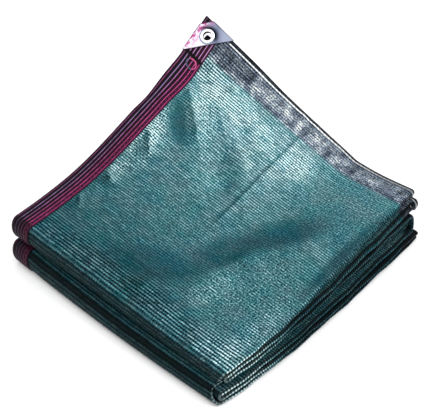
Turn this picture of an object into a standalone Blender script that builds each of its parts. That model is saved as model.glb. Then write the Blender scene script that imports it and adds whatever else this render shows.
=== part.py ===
"""Folded shade net: knitted cloth, bound cut ends, edge cord, corner plate and eyelet.

The wales of the knit run along X.  The net is first zigzagged along X into four plies,
with both cut ends at -X, and that strip is then zigzagged along Y into four panels.
Sixteen sheets lie on each other, and the far corner (-X, +Y) of the top sheet stands up.
Units are metres, +Z is up, and the net rests on Z = 0.
"""

import math

import bpy
from mathutils import Vector

MM = 0.001

# Folded size, measured between the fold lines.
FOLDED_X = 0.400
FOLDED_Y = 0.400
X_OPEN = FOLDED_X / 2            # plies 1-2 and 3-4 turn into each other here
X_BOUND = -FOLDED_X / 2          # plies 2-3 turn here, beside both bound cut ends
Y_SELVEDGE = FOLDED_Y / 2        # both knitted edges

# Cloth and trim.
SHEET = 1.3 * MM
HEM_WIDTH = 38 * MM
HEM_EXTRA = 0.7 * MM
CLEARANCE = 0.3 * MM
TAPE_WIDTH = 35 * MM
TAPE_THICK = 1.0 * MM
TAPE_BACK_THICK = 0.6 * MM
TAPE_STEP_RUN = 28 * MM          # the cloth comes down beside the tape within this run
TAPE_STEP_START = 2 * MM         # and starts this far from it
CORD_WIDTH = 2.6 * MM
CORD_THICK = 1.2 * MM
CORD_INSET = 4.0 * MM            # selvedge to the cord's outer side
CORD_START = 1.0 * MM            # plate to the cord's first end
CORD_END_SHARE = 0.97            # the cord's last grid span that it covers, up to the other tape

# Corner plate, along the net's edges in plan, and its eyelet.
PLATE_LEG = 55 * MM
PLATE_TIP_CUT = 15 * MM
PLATE_OVERHANG = 1.6 * MM
PLATE_THICK = 0.8 * MM
PLATE_ROUNDING = 2.0 * MM
EYELET_INSET = 18 * MM           # from both edges of the net, in plan
EYELET_HOLE_RADIUS = 6.5 * MM
EYELET_WALL = 0.6 * MM
EYELET_RIM_RADIUS = 10.8 * MM
EYELET_RIM_HEIGHT = 1.0 * MM
EYELET_WASHER_THICK = 0.7 * MM
EYELET_CHAMFER = 0.3 * MM
EYELET_RIM_SHAPE = (
    # share of the way from hole to rim,  depth below the crest
    (0.0, 0.6 * MM),
    (0.22, 0.1 * MM),
    (0.5, 0.0),
    (0.85, 0.3 * MM),
    (1.0, 0.7 * MM),
)
PUNCH_REACH = 12 * MM            # how far the hole's cutter runs past the cloth either way
EYELET_SIDES = 24

# Material colours, linear RGB, and roughness.
NET_COLOUR = (0.05, 0.20, 0.21)
TAPE_COLOUR = (0.20, 0.03, 0.09)
CORD_COLOUR = (0.80, 0.82, 0.80)
METAL_COLOUR = (0.70, 0.71, 0.75)
NET_ROUGHNESS = 0.55
TAPE_ROUGHNESS = 0.6
CORD_ROUGHNESS = 0.5
PLATE_ROUGHNESS = 0.3
EYELET_ROUGHNESS = 0.25
METALLIC = 1.0
SHARP_ANGLE = math.radians(40)   # edges sharper than this are shaded as edges

# Fold topology.
PANELS = 4
PLIES = 4

# Distance from each sheet to the next one below, top to bottom, in millimetres, at three
# corners of the stack; lift is what the distance grows by at the raised fourth corner.
SPACING = (
    # upper sheet,  near, left, right, lift
    ("panel 1 ply 1", 4.0, 5.5, 9.5, 31.0),
    ("panel 1 ply 2", 3.0, 4.5, 5.5, 21.0),
    ("panel 1 ply 3", 6.5, 6.0, 15.0, 18.0),
    ("panel 1 ply 4", 2.5, 5.0, 3.5, 4.0),
    ("panel 2 ply 4", 6.5, 5.5, 7.5, 13.0),
    ("panel 2 ply 3", 2.0, 4.0, 3.0, 9.0),
    ("panel 2 ply 2", 2.0, 4.5, 7.0, 9.0),
    ("panel 2 ply 1", 2.0, 5.0, 2.5, 2.0),
    ("panel 3 ply 1", 2.0, 5.5, 5.5, 6.0),
    ("panel 3 ply 2", 2.0, 5.0, 3.0, 4.0),
    ("panel 3 ply 3", 6.5, 6.0, 9.0, 5.0),
    ("panel 3 ply 4", 2.5, 5.0, 2.5, 1.5),
    ("panel 4 ply 4", 6.5, 5.5, 6.0, 2.5),
    ("panel 4 ply 3", 2.5, 4.5, 3.0, 1.0),
    ("panel 4 ply 2", 6.2, 5.5, 5.0, 1.0),
)
NEAR, LEFT, RIGHT, LIFT = 1, 2, 3, 4

# How far the plies' turns at +X stand back in each panel, at its -Y and its +Y end, in millimetres.
TURN_RECESS = (
    # plies 1-2 at -Y, at +Y, plies 3-4 at -Y, at +Y
    (0.5, 11.0, 1.0, 6.0),
    (12.0, 8.0, 2.0, 5.0),
    (11.0, 9.0, 1.0, 5.0),
    (2.0, 2.0, 0.5, 1.0),
)

# Where each panel folds into the next: the fold line's Y at both ends, the side that the fold
# is on, and how far the line bows out that way between its ends.
PANEL_FOLDS = (
    # Y at -X,  Y at +X,  side,  bow
    (-0.188, -0.184, -1, 0.0),
    (0.184, 0.184, +1, 0.0),
    (-0.195, -0.195, -1, 4.5 * MM),
)

# The turns at +X stand out most a little way from the near corner.
SIDE_BULGE = 10 * MM
SIDE_BULGE_SKEW = 0.7

NEST = 2.6 * MM                  # least distance between nested folds at their outermost points
NEST_SHARE = 0.5                 # share of a fold's half height that it reaches out
ROUND_TURN = 3.0 * MM            # turns up to this half height are true half circles
FLAT_TURN_SHARE = 0.45

# The raised corner.
LIFT_START = 0.28                # share of the X run that stays down
LIFT_POWER_X = 1.1
LIFT_POWER_Y = 2.2
PLATE_FLAT = 0.090               # cloth within this distance of the corner, in plan, is plane
PLATE_FADE = 0.070
SLOPE_STEP = 15 * MM             # the plane's slopes are taken over this far either way

# Broad swells and hollows of the top sheet.
SWELLS = (
    # X,  Y,  reach,  height
    (0.130, 0.200, 0.080, -4.5 * MM),
    (0.020, -0.020, 0.130, -3.5 * MM),
    (-0.080, -0.090, 0.090, 3.0 * MM),
    (-0.200, 0.030, 0.130, 6.0 * MM),
)

# Grid of the cloth: spans of each straight run and of each fold.
TOP_SPANS = 10
SPANS = 6
TURN_SPANS = 4
FOLD_SPANS = 4
STATION_TOLERANCE = 0.001        # share of a run, for telling which stations lie in the hem


def smooth(t):
    t = min(max(t, 0.0), 1.0)
    return t * t * (3 - 2 * t)


def mix(a, b, t):
    return a + (b - a) * t


def sheet_order(panel, ply):
    """Place of a sheet in the stack, 0 at the top; every second panel is upside down."""
    return panel * PLIES + (ply if panel % 2 == 0 else PLIES - 1 - ply)


def stack_heights(column):
    """Height of each sheet over the lowest one, top to bottom, from one column of SPACING."""
    heights = [0.0]
    for row in reversed(SPACING):
        heights.append(heights[-1] + row[column] * MM)
    return heights[::-1]


HEIGHTS = {column: stack_heights(column) for column in (NEAR, LEFT, RIGHT, LIFT)}


def raise_share(x, y):
    """Share of the lift that a place in plan gets: 0 on the low sides, 1 at the raised corner."""
    across = (X_OPEN - x) / FOLDED_X
    along = (y + FOLDED_Y / 2) / FOLDED_Y
    ramp = max(across - LIFT_START, 0.0) / (1 - LIFT_START)
    return ramp ** LIFT_POWER_X * max(along, 0.0) ** LIFT_POWER_Y


def tape_step(x):
    """The lowest sheet rises over the tape that lies under its bound edge."""
    down_from = X_BOUND + TAPE_WIDTH + TAPE_STEP_START
    return (TAPE_THICK + CLEARANCE) * (1 - smooth((x - down_from) / TAPE_STEP_RUN))


def level(order, x, y):
    """Height of a sheet's middle surface over a place in plan."""
    across = smooth((X_OPEN - x) / FOLDED_X)
    along = smooth((y + FOLDED_Y / 2) / FOLDED_Y)
    low_side = mix(HEIGHTS[NEAR][order], HEIGHTS[LEFT][order], across)
    far_side = mix(HEIGHTS[RIGHT][order], HEIGHTS[LEFT][order], across)
    z = SHEET / 2 + tape_step(x) + mix(low_side, far_side, along)
    return z + HEIGHTS[LIFT][order] * raise_share(x, y)


def corner_plane():
    """The plane that the plate holds the raised corner in: height, X slope and Y slope."""
    x, y = X_BOUND + EYELET_INSET, Y_SELVEDGE - EYELET_INSET
    slope_x = (level(0, x + SLOPE_STEP, y) - level(0, x - SLOPE_STEP, y)) / (2 * SLOPE_STEP)
    slope_y = (level(0, x, y + SLOPE_STEP) - level(0, x, y - SLOPE_STEP)) / (2 * SLOPE_STEP)
    return level(0, x, y), slope_x, slope_y


PLANE_Z, PLANE_SLOPE_X, PLANE_SLOPE_Y = corner_plane()


def plane_height(x, y):
    """Height of the plane of the raised corner."""
    from_x = x - (X_BOUND + EYELET_INSET)
    from_y = y - (Y_SELVEDGE - EYELET_INSET)
    return PLANE_Z + PLANE_SLOPE_X * from_x + PLANE_SLOPE_Y * from_y


def swell(x, y):
    """Height that the swells and hollows add to the top sheet."""
    total = 0.0
    for centre_x, centre_y, reach, height in SWELLS:
        distance = math.hypot(x - centre_x, y - centre_y) / reach
        total += height * (1 - smooth(distance))
    return total


def sheet_height(order, x, y):
    """Height of a sheet; the top one swells, and is plane where the plate grips it."""
    z = level(order, x, y)
    if order > 0:
        return z
    z += swell(x, y)
    from_corner = (x - X_BOUND) + (Y_SELVEDGE - y)
    return mix(plane_height(x, y), z, smooth((from_corner - PLATE_FLAT) / PLATE_FADE))


def fold_line(panel, x):
    """Y of the line at which a panel starts to fold into the next."""
    at_bound, at_open, side, bow = PANEL_FOLDS[panel]
    across = min(max((X_OPEN - x) / FOLDED_X, 0.0), 1.0)
    return mix(at_open, at_bound, across) + side * bow * math.sin(math.pi * across)


def run_y(panel, x, share):
    """Y of a place on a panel's straight run, from its first edge or fold to its last."""
    start = Y_SELVEDGE if panel == 0 else fold_line(panel - 1, x)
    end = Y_SELVEDGE if panel == PANELS - 1 else fold_line(panel, x)
    return mix(start, end, share)


def fold_reach(panel, ply, x):
    """How far a ply's fold between two panels reaches past the fold line."""
    line = fold_line(panel, x)
    side = PANEL_FOLDS[panel][2]
    inner_to_outer = range(PLIES - 1, -1, -1) if side < 0 else range(PLIES)
    reach, last_half = 0.0, 0.0
    for nested in inner_to_outer:
        upper = sheet_height(sheet_order(panel, nested), x, line)
        lower = sheet_height(sheet_order(panel + 1, nested), x, line)
        half = (upper - lower) / 2
        if last_half == 0.0:
            reach = min(half, ROUND_TURN)
        else:
            reach += max(NEST, NEST_SHARE * (half - last_half))
        last_half = half
        if nested == ply:
            return reach
    return reach


def path_point(ply, x, station):
    """Point of a ply's middle surface at X and at a station of the zigzag along Y."""
    kind, panel, value = station
    if kind == "run":
        y = run_y(panel, x, value)
        return Vector((x, y, sheet_height(sheet_order(panel, ply), x, y)))
    line = fold_line(panel, x)
    side = PANEL_FOLDS[panel][2]
    upper = sheet_height(sheet_order(panel, ply), x, line)
    lower = sheet_height(sheet_order(panel + 1, ply), x, line)
    reach = fold_reach(panel, ply, x)
    y = line + side * reach * math.sin(value)
    z = (upper + lower) / 2 + (upper - lower) / 2 * math.cos(value)
    return Vector((x, y, z))


def turn_line(first_ply, station):
    """X at which two plies start to turn into each other."""
    if first_ply == 1:
        return X_BOUND
    low = first_ply
    high = first_ply + 1
    kind, panel, value = station
    if kind == "run":
        along = (run_y(panel, X_OPEN, value) + FOLDED_Y / 2) / FOLDED_Y
        recess = mix(TURN_RECESS[panel][low], TURN_RECESS[panel][high], smooth(along))
    else:
        end = low if PANEL_FOLDS[panel][2] < 0 else high
        recess = mix(TURN_RECESS[panel][end], TURN_RECESS[panel + 1][end], smooth(value / math.pi))
        along = (fold_line(panel, X_OPEN) + FOLDED_Y / 2) / FOLDED_Y
    bulge = SIDE_BULGE * math.sin(math.pi * along ** SIDE_BULGE_SKEW)
    return X_OPEN - ROUND_TURN - recess * MM + bulge


def turn_reach(half):
    """How far a turn at either side stands out past the line where it starts."""
    return min(half, ROUND_TURN) + FLAT_TURN_SHARE * max(half - ROUND_TURN, 0.0)


def surface_point(column, station):
    """Point of the cloth's middle surface at a column across the plies and a station along Y."""
    kind, ply, value = column
    if kind == "run":
        starts_bound = ply % 2 == 0
        open_x = turn_line(0 if ply < 2 else 2, station)
        share = value if starts_bound else 1 - value
        return path_point(ply, mix(X_BOUND, open_x, share), station)
    x = turn_line(ply, station)
    upper = path_point(ply, x, station)
    lower = path_point(ply + 1, x, station)
    middle = (upper + lower) / 2
    half = (upper - lower) / 2
    outward = -1 if ply == 1 else 1
    reach = turn_reach(half.length)
    return middle + half * math.cos(value) + Vector((outward * reach * math.sin(value), 0, 0))


def ply_columns():
    """Columns of the cloth's grid: along ply 1, round the turn, back along ply 2, and so on."""
    columns = []
    taped = TAPE_WIDTH / FOLDED_X
    for ply in range(PLIES):
        spans = TOP_SPANS if ply == 0 else SPANS
        shares = [i / spans for i in range(spans + 1)]
        if ply == 0:
            shares[1] = taped
        if ply == PLIES - 1:
            shares[-2] = 1 - taped
        if ply > 0:
            shares = shares[1:]
            columns += [("turn", ply - 1, math.pi * i / TURN_SPANS) for i in range(1, TURN_SPANS + 1)]
        columns += [("run", ply, share) for share in shares]
    return columns


def panel_stations():
    """Stations of the cloth's grid: down panel 1, round its fold, back up panel 2, and so on."""
    stations = []
    hem = HEM_WIDTH / FOLDED_Y
    cord = (CORD_INSET / FOLDED_Y, (CORD_INSET + CORD_WIDTH) / FOLDED_Y)
    for panel in range(PANELS):
        spans = TOP_SPANS if panel == 0 else SPANS
        shares = [i / spans for i in range(spans + 1)]
        if panel == 0:
            shares[1:2] = [cord[0], cord[1], hem]
        if panel == PANELS - 1:
            shares[-2] = 1 - hem
        if panel > 0:
            shares = shares[1:]
            stations += [("fold", panel - 1, math.pi * i / FOLD_SPANS) for i in range(1, FOLD_SPANS + 1)]
        stations += [("run", panel, share) for share in shares]
    return stations


COLUMNS = ply_columns()
STATIONS = panel_stations()


def cloth_grid():
    """Points and unit normals of the middle surface; normals leave the outer face of the net."""
    points = [[surface_point(column, station) for column in COLUMNS] for station in STATIONS]
    rows, cols = len(STATIONS), len(COLUMNS)
    normals = []
    for i in range(rows):
        line = []
        for j in range(cols):
            along_u = points[i][min(j + 1, cols - 1)] - points[i][max(j - 1, 0)]
            along_v = points[min(i + 1, rows - 1)][j] - points[max(i - 1, 0)][j]
            line.append(along_v.cross(along_u).normalized())
        normals.append(line)
    return points, normals


POINTS, NORMALS = cloth_grid()


def mesh_object(name, vertices, faces, colour, roughness, metallic=0.0):
    """One node with its own material; every quad is split the same way as its neighbours."""
    mesh = bpy.data.meshes.new(name)
    mesh.from_pydata([tuple(v) for v in vertices], [], faces)
    material = bpy.data.materials.new(name)
    material.use_nodes = True
    shader = material.node_tree.nodes["Principled BSDF"]
    shader.inputs["Base Color"].default_value = (*colour, 1.0)
    shader.inputs["Roughness"].default_value = roughness
    shader.inputs["Metallic"].default_value = metallic
    mesh.materials.append(material)
    obj = bpy.data.objects.new(name, mesh)
    bpy.context.scene.collection.objects.link(obj)
    mesh.shade_smooth()
    mesh.set_sharp_from_angle(angle=SHARP_ANGLE)
    return obj


def split_quads(quads):
    """Triangles of quads, cut from the first corner to the third."""
    triangles = []
    for a, b, c, d in quads:
        triangles += [(a, b, c), (a, c, d)]
    return triangles


def hem_thickness(station):
    """What the turned hem adds to the inner face near both selvedges."""
    kind, panel, share = station
    if kind == "fold" or panel not in (0, PANELS - 1):
        return 0.0
    from_selvedge = share if panel == 0 else 1 - share
    return HEM_EXTRA if from_selvedge <= HEM_WIDTH / FOLDED_Y + STATION_TOLERANCE else 0.0


def build_net():
    """The whole knitted cloth as one closed sheet of 16 layers."""
    rows, cols = len(STATIONS), len(COLUMNS)
    vertices = []
    for row, station in enumerate(STATIONS):
        inner = SHEET / 2 + hem_thickness(station)
        vertices += [POINTS[row][col] + NORMALS[row][col] * SHEET / 2 for col in range(cols)]
        vertices += [POINTS[row][col] - NORMALS[row][col] * inner for col in range(cols)]

    def outer(row, col):
        return 2 * row * cols + col

    def inner_face(row, col):
        return (2 * row + 1) * cols + col

    quads = []
    for row in range(rows - 1):
        for col in range(cols - 1):
            quads.append((outer(row, col), outer(row + 1, col),
                          outer(row + 1, col + 1), outer(row, col + 1)))
            quads.append((inner_face(row, col), inner_face(row, col + 1),
                          inner_face(row + 1, col + 1), inner_face(row + 1, col)))
    for col in range(cols - 1):
        last = rows - 1
        quads.append((outer(0, col + 1), inner_face(0, col + 1), inner_face(0, col), outer(0, col)))
        quads.append((outer(last, col), inner_face(last, col),
                      inner_face(last, col + 1), outer(last, col + 1)))
    for row in range(rows - 1):
        last = cols - 1
        quads.append((outer(row, 0), inner_face(row, 0), inner_face(row + 1, 0), outer(row + 1, 0)))
        quads.append((outer(row + 1, last), inner_face(row + 1, last),
                      inner_face(row, last), outer(row, last)))
    return mesh_object("shade_net", vertices, split_quads(quads), NET_COLOUR, NET_ROUGHNESS)


def build_strip(name, rings, colour, roughness):
    """A closed strip through rings of (place across, point), with flat ends.

    Its quads are cut the way the cloth's are: from the lower place across in one ring
    to the higher one in the next.
    """
    count = len(rings[0])
    vertices = [point for ring in rings for _, point in ring]
    triangles = []
    for ring in range(len(rings) - 1):
        for i in range(count):
            j = (i + 1) % count
            a, b = ring * count + i, ring * count + j
            quad = (a, b, b + count, a + count)
            if rings[ring][i][0] > rings[ring][j][0]:
                quad = quad[1:] + quad[:1]
            triangles += split_quads([quad])
    last = (len(rings) - 1) * count
    for a, b, c in end_triangles(count):
        triangles += [(c, b, a), (last + a, last + b, last + c)]
    return mesh_object(name, vertices, triangles, colour, roughness)


def end_triangles(count):
    """Triangles over a strip's end: one quad for the cord, three for the binding's fold."""
    if count == 4:
        return split_quads([(0, 1, 2, 3)])
    return split_quads([(0, 1, 6, 7), (1, 2, 5, 6), (2, 3, 4, 5)])


def build_tape(name, edge_col, inner_col):
    """Binding folded over a cut end, thicker on the outer face than on the inner face."""
    side = 1 if edge_col < inner_col else -1
    face = SHEET / 2 + CLEARANCE
    rings = []
    for row, station in enumerate(STATIONS):
        edge, inner = POINTS[row][edge_col], POINTS[row][inner_col]
        edge_normal, inner_normal = NORMALS[row][edge_col], NORMALS[row][inner_col]
        outward = (edge - inner).normalized()
        back = face + hem_thickness(station)
        ring = []
        for inset, height in (
            (TAPE_WIDTH, face + TAPE_THICK),
            (-CLEARANCE - TAPE_THICK, face + TAPE_THICK),
            (-CLEARANCE - TAPE_THICK, -back - TAPE_BACK_THICK),
            (TAPE_WIDTH, -back - TAPE_BACK_THICK),
            (TAPE_WIDTH, -back),
            (-CLEARANCE, -back),
            (-CLEARANCE, face),
            (TAPE_WIDTH, face),
        ):
            if inset > 0:
                point = inner + inner_normal * height
            else:
                point = edge - outward * inset + edge_normal * height
            ring.append((side * inset, point))
        rings.append(ring if side > 0 else ring[::-1])
    return build_strip(name, rings, TAPE_COLOUR, TAPE_ROUGHNESS)


def cord_places():
    """Places along the first selvedge as (column, share of the way to the next column)."""
    start = X_BOUND - PLATE_OVERHANG + PLATE_LEG + CORD_START
    first = 0
    while POINTS[0][first + 1].x < start:
        first += 1
    span = POINTS[0][first + 1].x - POINTS[0][first].x
    places = [(first, (start - POINTS[0][first].x) / span)]
    places += [(col, 0.0) for col in range(first + 1, len(COLUMNS) - 2)]
    places.append((len(COLUMNS) - 3, CORD_END_SHARE))
    return places


def build_cord():
    """The pale cord sewn along the outer face of the hem, from the plate to the other cut end."""
    face = SHEET / 2 + CLEARANCE
    rings = []
    for col, share in cord_places():
        ring = []
        for row, height in ((1, CORD_THICK), (2, CORD_THICK), (2, 0.0), (1, 0.0)):
            point = POINTS[row][col].lerp(POINTS[row][col + 1], share)
            normal = NORMALS[row][col].lerp(NORMALS[row][col + 1], share)
            ring.append((row, point + normal * (face + height)))
        rings.append(ring)
    return build_strip("edge_cord", rings, CORD_COLOUR, CORD_ROUGHNESS)


def plane_frame():
    """Centre of the eyelet on the raised corner's plane, two directions in it and its normal."""
    x, y = X_BOUND + EYELET_INSET, Y_SELVEDGE - EYELET_INSET
    normal = Vector((-PLANE_SLOPE_X, -PLANE_SLOPE_Y, 1.0)).normalized()
    across = Vector((1.0, 0.0, PLANE_SLOPE_X)).normalized()
    return Vector((x, y, PLANE_Z)), across, normal.cross(across), normal


def rounded_outline(corners, radius, steps=3):
    """A polygon's corners with each one rounded by a short curve."""
    outline = []
    for i, corner in enumerate(corners):
        before = (corners[i - 1] - corner).normalized() * radius
        after = (corners[(i + 1) % len(corners)] - corner).normalized() * radius
        for step in range(steps + 1):
            t = step / steps
            outline.append(corner + before * (1 - t) ** 2 + after * t ** 2)
    return outline


def build_plate():
    """The metal plate over the corner: a triangle with its tip cut off."""
    normal = plane_frame()[3]
    under = SHEET / 2 + CLEARANCE + TAPE_THICK + CLEARANCE
    x, y = X_BOUND - PLATE_OVERHANG, Y_SELVEDGE + PLATE_OVERHANG
    plan = ((PLATE_TIP_CUT, 0), (0, PLATE_TIP_CUT), (0, PLATE_LEG), (PLATE_LEG, 0))
    corners = [Vector((x + a, y - b, plane_height(x + a, y - b))) for a, b in plan]
    outline = rounded_outline(corners, PLATE_ROUNDING)
    count = len(outline)
    vertices = [p + normal * (under + PLATE_THICK) for p in outline]
    vertices += [p + normal * under for p in outline]
    faces = [tuple(range(count)), tuple(reversed(range(count, 2 * count)))]
    for i in range(count):
        j = (i + 1) % count
        faces.append((i, i + count, j + count, j))
    return mesh_object("corner_plate", vertices, faces, METAL_COLOUR, PLATE_ROUGHNESS, METALLIC)


def turned(name, profile, colour, roughness):
    """A ring turned about the eyelet's axis from a closed profile of (radius, height)."""
    centre, across, along, normal = plane_frame()
    vertices = []
    for side in range(EYELET_SIDES):
        angle = 2 * math.pi * side / EYELET_SIDES
        outward = across * math.cos(angle) + along * math.sin(angle)
        vertices += [centre + outward * radius + normal * height for radius, height in profile]
    count = len(profile)
    faces = []
    for side in range(EYELET_SIDES):
        base, following = side * count, (side + 1) % EYELET_SIDES * count
        for i in range(count):
            j = (i + 1) % count
            faces.append((base + i, base + j, following + j, following + i))
    return mesh_object(name, vertices, faces, colour, roughness, METALLIC)


def build_eyelet():
    """Eyelet pressed through plate, binding and net: rolled rim above, washer below."""
    top = SHEET / 2 + CLEARANCE + TAPE_THICK + CLEARANCE + PLATE_THICK + CLEARANCE
    back = -(SHEET / 2 + HEM_EXTRA + CLEARANCE + TAPE_BACK_THICK + CLEARANCE)
    barrel = EYELET_HOLE_RADIUS + EYELET_WALL
    crest = top + EYELET_RIM_HEIGHT
    washer = back - EYELET_WASHER_THICK
    profile = [
        (barrel, top),
        (barrel, back),
        (EYELET_RIM_RADIUS, back),
        (EYELET_RIM_RADIUS, washer),
        (EYELET_HOLE_RADIUS + EYELET_CHAMFER, washer),
        (EYELET_HOLE_RADIUS, washer + EYELET_CHAMFER),
    ]
    for share, depth in EYELET_RIM_SHAPE:
        profile.append((mix(EYELET_HOLE_RADIUS, EYELET_RIM_RADIUS, share), crest - depth))
    profile.append((EYELET_RIM_RADIUS, top))
    return turned("eyelet", profile, METAL_COLOUR, EYELET_ROUGHNESS)


def build_punch():
    """Cutter for the round hole that the eyelet goes through; it isn't part of the object."""
    radius = EYELET_HOLE_RADIUS + EYELET_WALL + CLEARANCE
    centre, across, along, normal = plane_frame()
    vertices = []
    for side in range(EYELET_SIDES):
        angle = 2 * math.pi * side / EYELET_SIDES
        outward = (across * math.cos(angle) + along * math.sin(angle)) * radius
        vertices += [centre + outward + normal * PUNCH_REACH,
                     centre + outward - normal * PUNCH_REACH]
    tops = list(range(0, 2 * EYELET_SIDES, 2))
    bottoms = [i + 1 for i in tops]
    faces = [tuple(tops), tuple(reversed(bottoms))]
    for i in range(EYELET_SIDES):
        j = (i + 1) % EYELET_SIDES
        faces.append((tops[i], bottoms[i], bottoms[j], tops[j]))
    punch = mesh_object("eyelet_punch", vertices, faces, METAL_COLOUR, PLATE_ROUGHNESS)
    punch.hide_render = True
    punch.display_type = "WIRE"
    return punch


def punch_hole(obj, punch):
    cut = obj.modifiers.new("eyelet hole", "BOOLEAN")
    cut.operation = "DIFFERENCE"
    cut.object = punch


def centre_over_origin(objects, helpers):
    """Move everything so that the origin is under the middle of the object's box."""
    corners = [vertex.co for obj in objects for vertex in obj.data.vertices]
    middle_x = (min(c.x for c in corners) + max(c.x for c in corners)) / 2
    middle_y = (min(c.y for c in corners) + max(c.y for c in corners)) / 2
    for obj in objects + helpers:
        obj.location = (-middle_x, -middle_y, 0.0)


for leftover in list(bpy.data.objects):
    bpy.data.objects.remove(leftover)

net = build_net()
tape_outer = build_tape("edge_tape_ply1", 0, 1)
tape_inner = build_tape("edge_tape_ply4", len(COLUMNS) - 1, len(COLUMNS) - 2)
cord = build_cord()
plate = build_plate()
eyelet = build_eyelet()
punch = build_punch()
for holed in (net, tape_outer, plate):
    punch_hole(holed, punch)
centre_over_origin([net, tape_outer, tape_inner, cord, plate, eyelet], [punch])
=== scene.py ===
import math

import bpy
import numpy as np
from mathutils import Matrix, Vector


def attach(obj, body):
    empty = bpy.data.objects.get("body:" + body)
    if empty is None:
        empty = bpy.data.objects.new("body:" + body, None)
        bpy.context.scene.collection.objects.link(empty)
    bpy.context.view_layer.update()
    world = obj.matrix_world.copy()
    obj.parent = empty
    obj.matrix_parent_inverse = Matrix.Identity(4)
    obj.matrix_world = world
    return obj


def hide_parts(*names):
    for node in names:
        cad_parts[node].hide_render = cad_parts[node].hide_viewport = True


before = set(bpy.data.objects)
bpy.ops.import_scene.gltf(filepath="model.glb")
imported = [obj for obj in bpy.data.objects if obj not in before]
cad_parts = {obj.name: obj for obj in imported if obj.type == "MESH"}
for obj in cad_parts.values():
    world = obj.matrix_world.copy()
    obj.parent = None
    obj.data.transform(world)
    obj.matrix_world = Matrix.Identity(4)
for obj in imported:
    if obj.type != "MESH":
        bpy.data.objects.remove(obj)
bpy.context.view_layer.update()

# ---------------------------------------------------------------- camera
# The net lies on a table and is seen over its near corner from above, through a long
# lens that is turned a little about its own axis.

CAMERA_AZIMUTH = math.radians(47.77)
CAMERA_ELEVATION = math.radians(42.33)
CAMERA_TURN = math.radians(-4.94)
CAMERA_DISTANCE = 1.903
CAMERA_AIM = Vector((-0.0628, 0.0627, 0.0))
CAMERA_SENSOR = 36.0
CAMERA_LENS = 108.0
CAMERA_FAR = 20.0


def add_object(name, data):
    """A new object at the origin, in the scene."""
    added = bpy.data.objects.new(name, data)
    bpy.context.scene.collection.objects.link(added)
    return added


back = Vector((math.sin(CAMERA_AZIMUTH) * math.cos(CAMERA_ELEVATION),
               -math.cos(CAMERA_AZIMUTH) * math.cos(CAMERA_ELEVATION),
               math.sin(CAMERA_ELEVATION)))
level_right = Vector((math.cos(CAMERA_AZIMUTH), math.sin(CAMERA_AZIMUTH), 0.0))
level_up = back.cross(level_right)
right = level_right * math.cos(CAMERA_TURN) + level_up * math.sin(CAMERA_TURN)
up = level_up * math.cos(CAMERA_TURN) - level_right * math.sin(CAMERA_TURN)

camera_data = bpy.data.cameras.new("camera")
camera_data.lens = CAMERA_LENS
camera_data.sensor_width = CAMERA_SENSOR
camera_data.clip_end = CAMERA_FAR
camera = add_object("camera", camera_data)
camera.matrix_world = Matrix.Translation(CAMERA_AIM + back * CAMERA_DISTANCE) @ Matrix(
    (right, up, back)).transposed().to_4x4()
bpy.context.scene.camera = camera

# ---------------------------------------------------------------- studio
# A plain pale floor, one large soft light from the right and above, one softbox overhead
# that the metal mirrors, and a faint even sky.


def linear(code):
    """Linear RGBA of an sRGB hex colour."""
    channels = [int(code[i:i + 2], 16) / 255 for i in (1, 3, 5)]
    return tuple(c / 12.92 if c <= 0.04045 else ((c + 0.055) / 1.055) ** 2.4 for c in channels) + (1.0,)


def node(tree, kind, settings=None, **links):
    """Adds one node: settings are its properties, links its inputs, as values, sockets or nodes.

    A node given as a link stands for the first of its outputs that is in use.
    """
    added = tree.nodes.new(kind)
    for name, value in (settings or {}).items():
        setattr(added, name, value)
    for name, value in links.items():
        key = int(name[1:]) if name[0] == "i" and name[1:].isdigit() else name.replace("_", " ")
        if isinstance(value, bpy.types.Node):
            value = next(output for output in value.outputs if output.enabled)
        if isinstance(value, bpy.types.NodeSocket):
            tree.links.new(value, added.inputs[key])
        else:
            added.inputs[key].default_value = value
    return added


def new_material(name):
    """An empty material with its Principled shader and its output."""
    made = bpy.data.materials.new(name)
    made.use_nodes = True
    made.node_tree.nodes.clear()
    shader = node(made.node_tree, "ShaderNodeBsdfPrincipled")
    node(made.node_tree, "ShaderNodeOutputMaterial", Surface=shader)
    return made, made.node_tree, shader


def soft_light(name, place, aim, width, watts):
    """A round white area light at a place, turned to its aim."""
    data = bpy.data.lights.new(name, "AREA")
    data.shape = "DISK"
    data.size = width
    data.energy = watts
    turn = (Vector(aim) - Vector(place)).to_track_quat("-Z", "Y")
    add_object(name, data).matrix_world = Matrix.Translation(place) @ turn.to_matrix().to_4x4()


soft_light("key from the right", (1.7, 1.1, 1.9), (0.0, 0.0, 0.08), 2.8, 38.0)
soft_light("overhead softbox", (0.15, -0.65, 1.9), (-0.1, 0.1, 0.1), 1.3, 13.0)

SKY_STRENGTH = 0.92
world = bpy.data.worlds.new("even sky")
world.use_nodes = True
sky = world.node_tree.nodes["Background"]
sky.inputs["Color"].default_value = linear("#FFFFFF")
sky.inputs["Strength"].default_value = SKY_STRENGTH
bpy.context.scene.world = world
bpy.context.scene.view_settings.view_transform = "Standard"

FLOOR_REACH = 6.0
floor_mesh = bpy.data.meshes.new("floor")
floor_mesh.from_pydata([(-FLOOR_REACH, -FLOOR_REACH, 0), (FLOOR_REACH, -FLOOR_REACH, 0),
                        (FLOOR_REACH, FLOOR_REACH, 0), (-FLOOR_REACH, FLOOR_REACH, 0)], [], [(0, 1, 2, 3)])
floor = add_object("floor", floor_mesh)
floor_paint, _, floor_shader = new_material("matte white floor paint")
floor_shader.inputs["Base Color"].default_value = linear("#FFFFFF")
floor_shader.inputs["Roughness"].default_value = 0.9
floor_mesh.materials.append(floor_paint)

# ---------------------------------------------------------------- knitted net
# One piece of knitted shade net, green-blue plastic thread, with a turned hem along both
# selvedges. It is zigzagged along its wales into four plies with both cut ends on one side,
# and that strip is zigzagged the other way into four panels, so sixteen sheets lie stacked.
# The far corner of the top sheet is drawn up.

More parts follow.
